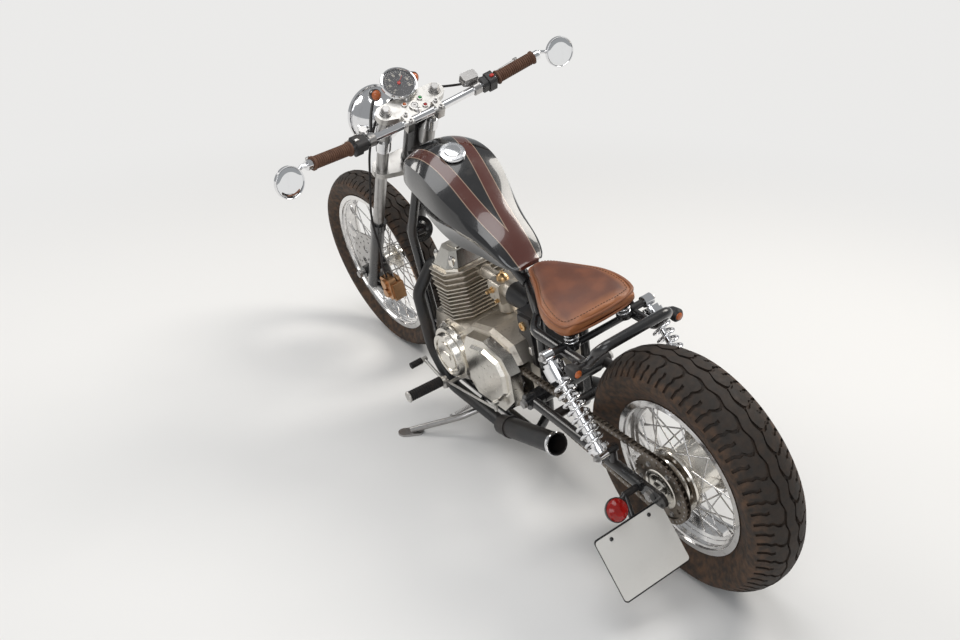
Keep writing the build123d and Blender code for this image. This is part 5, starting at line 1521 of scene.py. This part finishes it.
class Head(Enum):
    """The heads of screws and nuts, as profiles on a radius of 1, with numbers of sides."""

    HEX = (((0.0, 1.25), (0.10, 1.25), (0.10, 1.0), (0.70, 1.0), (0.80, 0.86)), 6)
    SOCKET = (((0.0, 1.3), (0.12, 1.3), (0.12, 1.0), (0.95, 1.0), (1.0, 0.9), (1.0, 0.58),
               (0.45, 0.56)), 18)
    ACORN = (((0.0, 1.3), (0.12, 1.3), (0.12, 1.0), (0.70, 1.0), (0.72, 0.84), (1.10, 0.70),
              (1.35, 0.36), (1.42, 0.02)), 6)
    ROUND = (((0.0, 1.0), (0.18, 1.0), (0.42, 0.82), (0.55, 0.5), (0.60, 0.05)), 20)


@dataclass
class Fasteners(Assembly):
    """Bolts, nuts and screws, each row on the face that it holds.

    Places on the head and rings are in metres, and those on the upright machine in millimetres.
    A ring has its side and its radius.
    """

    left_screws: tuple[tuple[float, float], ...] = (
        (736, 406), (576, 414), (546, 330), (612, 232), (728, 228))
    right_screws: tuple[tuple[float, float], ...] = (
        (926, 350), (820, 388), (700, 394), (606, 360), (600, 276), (690, 226), (810, 218),
        (920, 252))
    cover_side: float = 129
    alternator: Vector = mm(868, 117, 288)
    alternator_ring: float = 0.087
    sprocket_ring: tuple[float, float] = (0.099, 0.065)
    disc_ring: tuple[float, float] = (0.054, 0.032)
    axle_side: float = 0.108
    clamp: Spot = (1.1411, -0.0307, 0.049)
    clamp_spread: float = 0.012
    cap: Spot = (1.132, 0.028, 0.080)
    stem: Spot = (1.1238, -0.006, 0.0)
    block: Vector = mm(872, 0, 400)
    block_lean: float = 5.0
    block_height: float = 0.184
    rocker: tuple[tuple[float, float], ...] = ((40, 74), (-40, 74), (40, -74), (-40, -74))
    shocks: tuple[Vector, ...] = (mm(299, 166, 573), mm(136, 166, 363))
    pivots: tuple[Vector, ...] = (mm(470, 144, 330), mm(470, -134, 330))
    plate: Vector = mm(-46, 203, 222)
    plate_slope: float = 36.0
    plate_up: float = 0.062
    plate_half: float = 0.055
    boss: Vector = mm(232, 138.3, 562)

    def rows(self) -> list[tuple[str, Body, Head, float, list[Matrix]]]:
        """Name, body, head, radius in millimetres, and the seats of each row.

        Returns:
            The rows.
        """
        stance = self.stance
        up, right = stance.head_up, -LEFT
        stack = slope(90 - self.block_lean)
        stack.x = -stack.x
        front = Vector((stack.z, 0, -stack.x))
        covers = [(mm(x, self.cover_side, z), LEFT) for x, z in self.left_screws]
        covers += [(place, LEFT) for place in around(self.alternator, self.alternator_ring, 7, 20)]
        covers += [(mm(x, -self.cover_side, z), right) for x, z in self.right_screws]
        rocker = [(self.block + front * (lead / 1000) + mm(0, y, 0) + stack * self.block_height,
                   stack) for lead, y in self.rocker]
        along, ahead, y = self.clamp
        clamps = [(stance.on_head(along, ahead + way * self.clamp_spread, side * y), up)
                  for way in (-1, 1) for side in SIDES]
        along, ahead, y = self.cap
        caps = [(stance.on_head(along, ahead, side * y), up) for side in SIDES]
        shocks = [(on_side(place, side), LEFT * side) for place in self.shocks for side in SIDES]
        y, radius = self.sprocket_ring
        ring = around(stance.rear_axle + LEFT * y, radius, 6)
        y, radius = self.disc_ring
        disc = around(stance.front_axle + LEFT * y, radius, 6, 30)
        axle = [(stance.front_axle + LEFT * side * self.axle_side, LEFT * side) for side in SIDES]
        out = slope(self.plate_slope)
        top = self.plate + Vector((out.z, 0, -out.x)) * self.plate_up
        signs = [(top + LEFT * side * self.plate_half, out) for side in SIDES]
        bosses = [(on_side(self.boss, side), LEFT * side) for side in SIDES]
        frame_body, fork = Body.FRAME, Body.FORK
        table = [("cover_screws", frame_body, Head.SOCKET, 6, covers),
                 ("rocker_nuts", frame_body, Head.ACORN, 6.5, rocker),
                 ("clamp_bolts", fork, Head.SOCKET, 5.5, clamps),
                 ("fork_caps", fork, Head.HEX, 12, caps),
                 ("stem_nut", fork, Head.ROUND, 10, [(stance.on_head(*self.stem), up)]),
                 ("shock_nuts", frame_body, Head.ACORN, 8.5, shocks),
                 ("pivot_nuts", frame_body, Head.HEX, 12, list(zip(self.pivots, (LEFT, right)))),
                 ("sprocket_bolts", Body.REAR_WHEEL, Head.HEX, 6, [(p, LEFT) for p in ring]),
                 ("disc_bolts", Body.FRONT_WHEEL, Head.SOCKET, 4.5, [(p, LEFT) for p in disc]),
                 ("front_axle_nuts", fork, Head.HEX, 12.5, axle),
                 ("plate_screws", frame_body, Head.ROUND, 5, signs),
                 ("rack_plugs", frame_body, Head.ROUND, 6.5, bosses)]
        return [(name, body, head, radius, [self.aim(point, point + way) for point, way in places])
                for name, body, head, radius, places in table]

    def build(self) -> None:
        """Builds each row from one head."""
        dark = ("plate_screws", "rack_plugs")
        for name, body, head, radius, seats in self.rows():
            profile, sides = head.value
            finish = self.looks.black_gloss if name in dark else self.looks.steel
            self.turned(name, body, finish, "steel",
                        [(height * radius, wide * radius) for height, wide in profile], sides,
                        seats)


@dataclass
class EngineTrim(Assembly):
    """What is bolted about the engine: carburettor fittings, lock, plug caps and muffler rings.

    Each fitting has its place, its way, its profile and its number of sides.
    """

    fittings: tuple[tuple[Vector, Vector, Profile, int], ...] = (
        (mm(722, 35, 520), LEFT, ((0, 9), (4, 9), (4, 6.5), (12, 6.5), (13, 5), (20, 5), (21, 4)),
         24),
        (mm(702, 35, 494), LEFT, ((0, 6.5), (5, 6.5), (5, 4.5), (10, 4.5)), 6),
        (mm(716, 0, 446), Vector((0, 0, -1)), ((0, 9), (6, 9), (7, 7)), 6),
        (mm(716, 0, 544), Vector((0, 0, 1)),
         ((0, 17), (5, 17), (8, 15), (14, 9), (16, 5), (22, 4.5)), 32))
    lock: Vector = mm(534, 70, 505)
    lock_profile: Profile = ((0, 12.5), (4, 12.5), (5.5, 11), (5.5, 7.8), (3, 7.4), (3, 0.2))
    cap: Vector = mm(509, 72, 440)
    cap_size: Vector = mm(13, 10, 22)
    mouth: Vector = mm(371, 130, 243)
    muffler_head: Vector = mm(642, 130, 152)
    ring: Profile = ((-10, 30), (-10, 32.2), (-2, 32.6), (0, 31), (0, 27.5), (-10, 27.2),
                     (-10, 30))

    def build(self) -> None:
        """Builds the small pieces round the engine."""
        brass = [self.lathe(profile, sides, self.aim(point, point + way))
                 for point, way, profile, sides in self.fittings]
        self.done(self.join(brass), "carburettor_fittings", Body.FRAME, self.looks.brass,
                  "cast_alloy")
        self.turned("side_lock", Body.FRAME, self.looks.brass, "chrome", self.lock_profile, 40,
                    [self.aim(self.lock, self.lock + LEFT / 1000)])
        cap = self.block(self.cap_size, 0.002)
        cap.data.transform(Matrix.Translation(self.cap))
        self.done(cap, "side_cap", Body.FRAME, self.looks.satin, "cast_alloy")
        ends = [(on_side(self.mouth, side), on_side(self.muffler_head, side)) for side in SIDES]
        self.turned("muffler_rings", Body.FRAME, self.looks.chrome, "chrome", self.ring, 48,
                    [self.aim(end, end * 2 - head) for end, head in ends], 40.0)


@dataclass
class FrontSignals(Assembly):
    """The two round turn signals on stalks from the headlight's ears."""

    stalk: tuple[Spot, ...] = (
        (1.000, 0.078, 0.086), (1.045, 0.104, 0.078), (1.112, 0.104, 0.062))
    stalk_radius: float = 0.0048
    can: Profile = ((-20, 4), (-18.5, 9.5), (-13, 14.2), (-4, 16.5), (6, 16.8), (8.5, 15.5))
    lens: Profile = ((7.5, 14), (9.5, 13.8), (13.5, 12.2), (16.5, 8.5), (18, 4), (18.3, 0.4))

    def build(self) -> None:
        """Builds stalks, cans and lenses."""
        cans, seats = [], []
        for side in SIDES:
            points = [self.stance.on_head(along, ahead, side * y)
                      for along, ahead, y in self.stalk]
            seat = self.aim(points[-1], points[-1] + Vector((-1, 0, 0.12)).normalized())
            cans += [self.tube(points, self.stalk_radius), self.lathe(self.can, 36, seat)]
            seats.append(seat)
        self.done(self.join(cans), "front_signals", Body.FORK, self.looks.black_gloss, "plastic",
                  40.0)
        self.turned("front_signal_lenses", Body.FORK, self.looks.orange_plastic, "red_lens",
                    self.lens, 32, seats, 40.0)


@dataclass
class FootRubbers(Assembly):
    """Ribbed rubbers on the pegs and on the toe pieces of the gear lever and brake pedal."""

    sleeves: tuple[tuple[Vector, Vector, float], ...] = (
        (mm(890, 176, 200.5), mm(890, 283, 205.9), 15.8),
        (mm(1010, 168, 212), mm(1010, 206, 212), 10.0))
    rib: float = 7.5
    ring: Profile = ((0, 12.5), (0, 16.4), (1.5, 17.2), (4, 17.2), (5.5, 16), (5.5, 12),
                     (4.5, 11.5), (4.5, 0.2))

    def sleeve(self, start: Vector, end: Vector, radius: float) -> Piece:
        """One ribbed sleeve from start to end.

        Args:
            start: its foot.
            end: its end.
            radius: its radius in millimetres.

        Returns:
            The sleeve.
        """
        length = (end - start).length * 1000
        count = int(length / self.rib)
        pitch = (length - 6) / count
        profile = [(0, radius * 0.80), (0, radius * 0.98), (3, radius)]
        for foot in (4 + index * pitch for index in range(count)):
            profile += [(foot, radius * 0.88), (foot + pitch * 0.2, radius),
                        (foot + pitch * 0.7, radius)]
        profile += [(length - 1, radius), (length, radius * 0.93)]
        return self.lathe(profile, 32, self.aim(start, end))

    def build(self) -> None:
        """Builds the four rubbers and the pegs' bright end rings."""
        rubbers = [self.sleeve(on_side(start, side), on_side(end, side), radius)
                   for side in SIDES for start, end, radius in self.sleeves]
        self.done(self.join(rubbers), "foot_rubbers", Body.FRAME, self.looks.hose, "grip_rubber",
                  40.0)
        ends = [(on_side(self.sleeves[0][1], side), Vector((0, side, 0.05))) for side in SIDES]
        self.turned("peg_end_rings", Body.FRAME, self.looks.satin, "chrome", self.ring, 40,
                    [self.aim(end, end + way) for end, way in ends], 40.0)


@dataclass
class StandSpring(Assembly):
    """The coil spring along the side stand's leg."""

    pivot: Vector = mm(806, 112, 112)
    knee: Vector = mm(826, 168, 98)
    foot: Vector = mm(912, 300, 10)
    lug_along: float = 0.024
    lug_way: Vector = mm(15, 0, 11)
    turns: int = 13
    steps: int = 10
    coil: float = 0.0052
    wire: float = 0.0011
    inset: float = 0.010

    def build(self) -> None:
        """Builds the spring between its two hooks."""
        leg = (self.foot - self.knee).normalized()
        start, end = self.pivot + self.lug_way, self.knee + leg * self.lug_along + self.lug_way
        length = (end - start).length
        count = self.turns * self.steps
        points = [(0, 0, 0), (0, 0, self.inset * 0.6)]
        for index in range(count + 1):
            angle = 2 * math.pi * index / self.steps
            points.append((self.coil * math.cos(angle), self.coil * math.sin(angle),
                           self.inset + (length - 2 * self.inset) * index / count))
        points += [(0, 0, length - self.inset * 0.6), (0, 0, length)]
        seat = self.aim(start, end)
        spring = self.tube([seat @ Vector(point) for point in points], self.wire)
        self.done(spring, "stand_spring", Body.STAND, self.looks.steel, "steel", 60.0, False)


@dataclass
class YokeTrim(Assembly):
    """The lock's centre and the warning lamps on the top yoke, the switches and the horn's rings.

    A horn ring has its radius and how far out it stands.
    """

    top: float = 1.1238
    key_ahead: float = 0.008
    key: Profile = ((0, 9.8), (3.5, 9.8), (4.8, 8.6), (4.8, 3.4), (3, 3), (3, 0.2))
    lamps: tuple[tuple[float, float], ...] = ((0.025, 0.021), (0.024, -0.029), (-0.004, -0.027))
    lamp: Profile = ((0, 5.2), (4.2, 5.2), (5.6, 4.2), (6.4, 2.2), (6.6, 0.2))
    switch: Vector = mm(21.7, -9.3, 219)
    switch_size: Vector = mm(12, 9, 8)
    switch_rise: float = 0.020
    horn: Vector = mm(1062, 44, 592)
    horn_way: Vector = mm(30, -6, -12)
    horn_rings: tuple[tuple[float, float], ...] = ((0.0350, 0.0142), (0.0215, 0.0236))
    horn_wire: float = 0.0016

    def build(self) -> None:
        """Builds every piece on the yoke, the switches and the horn's rings."""
        stance = self.stance
        up = stance.head_up
        point = stance.on_head(self.top, self.key_ahead)
        self.turned("lock_centre", Body.FORK, self.looks.steel, "steel", self.key, 36,
                    [self.aim(point, point + up)])
        glasses = (self.looks.orange_plastic, self.looks.green_lens, self.looks.red_lens)
        for index, ((lead, side), glass) in enumerate(zip(self.lamps, glasses)):
            point = stance.on_head(self.top - 0.0002, lead, side)
            self.turned(f"warning_lens_{index}", Body.FORK, glass, "red_lens", self.lamp, 24,
                        [self.aim(point, point + up)], 40.0)
        for side, name, finish in ((-1, "stop_switch", self.looks.red_plastic),
                                   (1, "dip_switch", self.looks.satin)):
            point = stance.on_bar(self.switch, side) + up * self.switch_rise
            button = self.block(self.switch_size, 0.0022)
            button.data.transform(self.aim(point, point + up))
            self.done(button, name, Body.FORK, finish, "plastic", 40.0)
        rings = []
        for reach, out in self.horn_rings:
            ring = self.new("torus", major_radius=reach, minor_radius=self.horn_wire,
                            major_segments=56, minor_segments=10)
            ring.data.transform(self.aim(self.horn + self.horn_way.normalized() * out,
                                         self.horn + self.horn_way * 2))
            rings.append(ring)
        self.done(self.join(rings), "horn_rings", Body.FRAME, self.looks.chrome, "chrome", 60.0)


@dataclass
class Hoses(Assembly):
    """The brake hose and the switch lead, which turn with the fork.

    Their middle points are given by height along the steering axis, lead and side.
    """

    radius: float = 0.0034
    caliper: tuple[Vector, ...] = (mm(-106, 70, 4), mm(-112, 78, 60))
    brake_middle: tuple[Spot, ...] = (
        (0.560, -0.030, 0.104), (0.700, 0.012, 0.122), (0.860, 0.020, 0.124),
        (0.985, 0.052, 0.112), (1.075, 0.092, 0.050), (1.085, 0.088, -0.060))
    brake_bar: tuple[Vector, ...] = (mm(-6, 42, 150), mm(16, 20, 168))
    lead_bar: tuple[Vector, ...] = (mm(10, -14, 200), mm(-12, -16, 150))
    lead_middle: tuple[Spot, ...] = (
        (1.075, 0.010, 0.124), (1.020, 0.060, 0.118), (0.975, 0.105, 0.075))

    def cord(self, name: str, points: Sequence[Vector]) -> None:
        """One hose through its control points, fixed at both ends.

        Args:
            name: the hose's name.
            points: the control points on the upright machine.
        """
        route = [self.stance.matrix(Body.FORK) @ point for point in points]
        line = self.line(route)
        obj = self.curve(name, route, False, 16, self.radius)
        obj.data.materials.append(self.looks.hose)
        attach(obj, Body.FORK.value)
        2 * self.radius

    def build(self) -> None:
        """Lays both hoses."""
        stance = self.stance
        brake = [stance.front_axle + point for point in self.caliper]
        brake += [stance.on_head(*place) for place in self.brake_middle]
        brake += [stance.on_bar(place, -1) for place in self.brake_bar]
        lead = [stance.on_bar(place, 1) for place in self.lead_bar]
        lead += [stance.on_head(*place) for place in self.lead_middle]
        self.cord("brake_hose", brake)
        self.cord("switch_lead", lead)


@dataclass(frozen=True)
class Lamp:
    """A soft studio lamp, by its place from the camera's target."""

    name: str
    place: Spot
    size: float
    power: float
    colour: Colour


@dataclass
class Studio:
    """The camera of the photograph's view, a pale floor and soft lamps."""

    azimuth: float = -32.97
    elevation: float = 26.4
    distance: float = 2.951
    target: Spot = (0.700, 0.2026, 0.4323)
    lens: float = 41.22
    sensor: float = 36.0
    floor_size: float = 60.0
    floor_colour: Colour = (0.80, 0.795, 0.785)
    cloud_colour: Colour = (0.70, 0.69, 0.68)
    backdrop: Colour = (0.83, 0.825, 0.815)
    fade: tuple[float, float] = (1.5, 3.4)
    surround: float = 0.40
    surround_colour: Colour = (0.86, 0.88, 0.90)
    lamps: tuple[Lamp, ...] = (
        Lamp("key", (-0.6, -3.2, 3.6), 2.4, 118.0, (1.0, 0.96, 0.90)),
        Lamp("fill", (-3.6, 2.6, 2.4), 3.2, 60.0, (0.95, 0.97, 1.0)),
        Lamp("rim", (3.4, 2.2, 3.0), 2.2, 70.0, (1.0, 0.97, 0.93)),
        Lamp("top", (0.2, 0.4, 4.4), 3.0, 60.0, (1.0, 1.0, 1.0)))

    def build(self, start: Vector) -> None:
        """Sets up the camera, the floor, the lamps and the world.

        Args:
            start: the frame's place of the floor point under the rear axle.
        """
        target = start + Vector(self.target)
        turn, rise = math.radians(self.azimuth), math.radians(self.elevation)
        forward = Vector((math.cos(rise) * math.cos(turn), math.cos(rise) * math.sin(turn),
                          -math.sin(rise)))
        data = bpy.data.cameras.new("camera")
        data.lens = self.lens
        data.sensor_width = self.sensor
        data.clip_start = 0.05
        data.clip_end = 200.0
        camera = put("camera", data)
        camera.location = target - forward * self.distance
        camera.rotation_euler = forward.to_track_quat("-Z", "Y").to_euler()
        bpy.context.scene.camera = camera
        self._floor()
        self._lamps(target)
        self._world()
        bpy.context.scene.view_settings.view_transform = "Standard"

    def _floor(self) -> None:
        """A plain pale floor that fades into the backdrop's colour far from the machine."""
        Assembly.alone()
        bpy.ops.mesh.primitive_plane_add(size=self.floor_size)
        floor = bpy.context.object
        floor.name = "floor"
        recipe = Recipe("pale_floor")
        cloud = recipe.noise(0.6).scaled(0.0, 0.05)
        recipe.set(Base_Color=recipe.blend(cloud, self.floor_colour, self.cloud_colour),
                   Roughness=0.9, Specular_IOR_Level=0.1)
        reach = recipe.add("ShaderNodeVectorMath", {"operation": "LENGTH"}, {0: recipe.here()})
        path = recipe.add("ShaderNodeLightPath", {}, {})
        camera, glossy = (Channel(recipe, path.outputs[name])
                          for name in ("Is Camera Ray", "Is Glossy Ray"))
        far = Channel(recipe, reach.outputs["Value"]).rise(*self.fade) * camera.most(glossy)
        glow = recipe.add("ShaderNodeEmission", {}, {"Color": self.backdrop, "Strength": 1.0})
        mix = recipe.add("ShaderNodeMixShader", {},
                         {0: far, 1: recipe.shader.outputs[0], 2: glow.outputs[0]})
        recipe.tree.links.new(mix.outputs[0], recipe.output.inputs[0])
        floor.data.materials.append(recipe.material)

    def _lamps(self, target: Vector) -> None:
        """A large key lamp behind the camera's right, a fill, a rim and a top lamp.

        Args:
            target: the camera's target.
        """
        for row in self.lamps:
            data = bpy.data.lights.new(row.name, "AREA")
            data.shape = "DISK"
            data.size = row.size
            data.energy = row.power
            data.color = row.colour
            lamp = put(row.name, data)
            lamp.location = target + Vector(row.place)
            lamp.rotation_euler = (-Vector(row.place)).to_track_quat("-Z", "Y").to_euler()

    def _world(self) -> None:
        """An even pale surround, that the camera sees in the backdrop's own colour."""
        world = bpy.data.worlds.new("surround")
        world.use_nodes = True
        bpy.context.scene.world = world
        nodes, links = world.node_tree.nodes, world.node_tree.links
        light, shown = nodes["Background"], nodes.new("ShaderNodeBackground")
        for node, colour, strength in ((light, self.surround_colour, self.surround),
                                       (shown, self.backdrop, 1.0)):
            node.inputs["Color"].default_value = (*colour, 1.0)
            node.inputs["Strength"].default_value = strength
        path = nodes.new("ShaderNodeLightPath")
        mix = nodes.new("ShaderNodeMixShader")
        for index, socket in enumerate((path.outputs["Is Camera Ray"], light.outputs[0],
                                        shown.outputs[0])):
            links.new(socket, mix.inputs[index])
        links.new(mix.outputs[0], nodes["World Output"].inputs[0])


def main() -> None:
    """Builds the machine's looks and its studio."""
    logging.basicConfig(level=logging.INFO, format="%(message)s")
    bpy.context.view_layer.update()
    stance = Stance.read(frame["joints"])
    log.info("lean %.2f degrees", math.degrees(stance.lean))
    Studio().build(stance.parked.translation)
    shop = (stance, Finishes(stance))
    CadFinishes(*shop).dress(frame["nodes"])
    parts = (
        Tyre(*shop, "rear_tyre_tread", "rear_tyre", Body.REAR_WHEEL, stance.rear_axle,
             radius=0.3105, half_width=0.076, crown=0.090, lip_radius=0.202, bead_half=0.0468,
             pitches=34),
        Tyre(*shop, "front_tyre_tread", "front_tyre", Body.FRONT_WHEEL, stance.front_axle,
             radius=0.315, half_width=0.050, crown=0.055, lip_radius=0.244, bead_half=0.0272,
             pitches=40, groove=0.0048, zigzag=0.0336),
        Saddle(*shop), Controls(*shop), Dial(*shop), Lamps(*shop),
        Laced(*shop, "rear", Body.REAR_WHEEL, stance.rear_axle, flange_radius=0.074,
              flange_side=0.0505, rim_radius=0.1735, rim_side=0.008),
        Laced(*shop, "front", Body.FRONT_WHEEL, stance.front_axle, flange_radius=0.042,
              flange_side=0.028, rim_radius=0.2205, rim_side=0.004),
        ChainPins(*shop), Fasteners(*shop), EngineTrim(*shop), FrontSignals(*shop),
        FootRubbers(*shop), StandSpring(*shop), YokeTrim(*shop), Hoses(*shop))
    for part in parts:
        part.build()


if __name__ == "__main__":
    main()
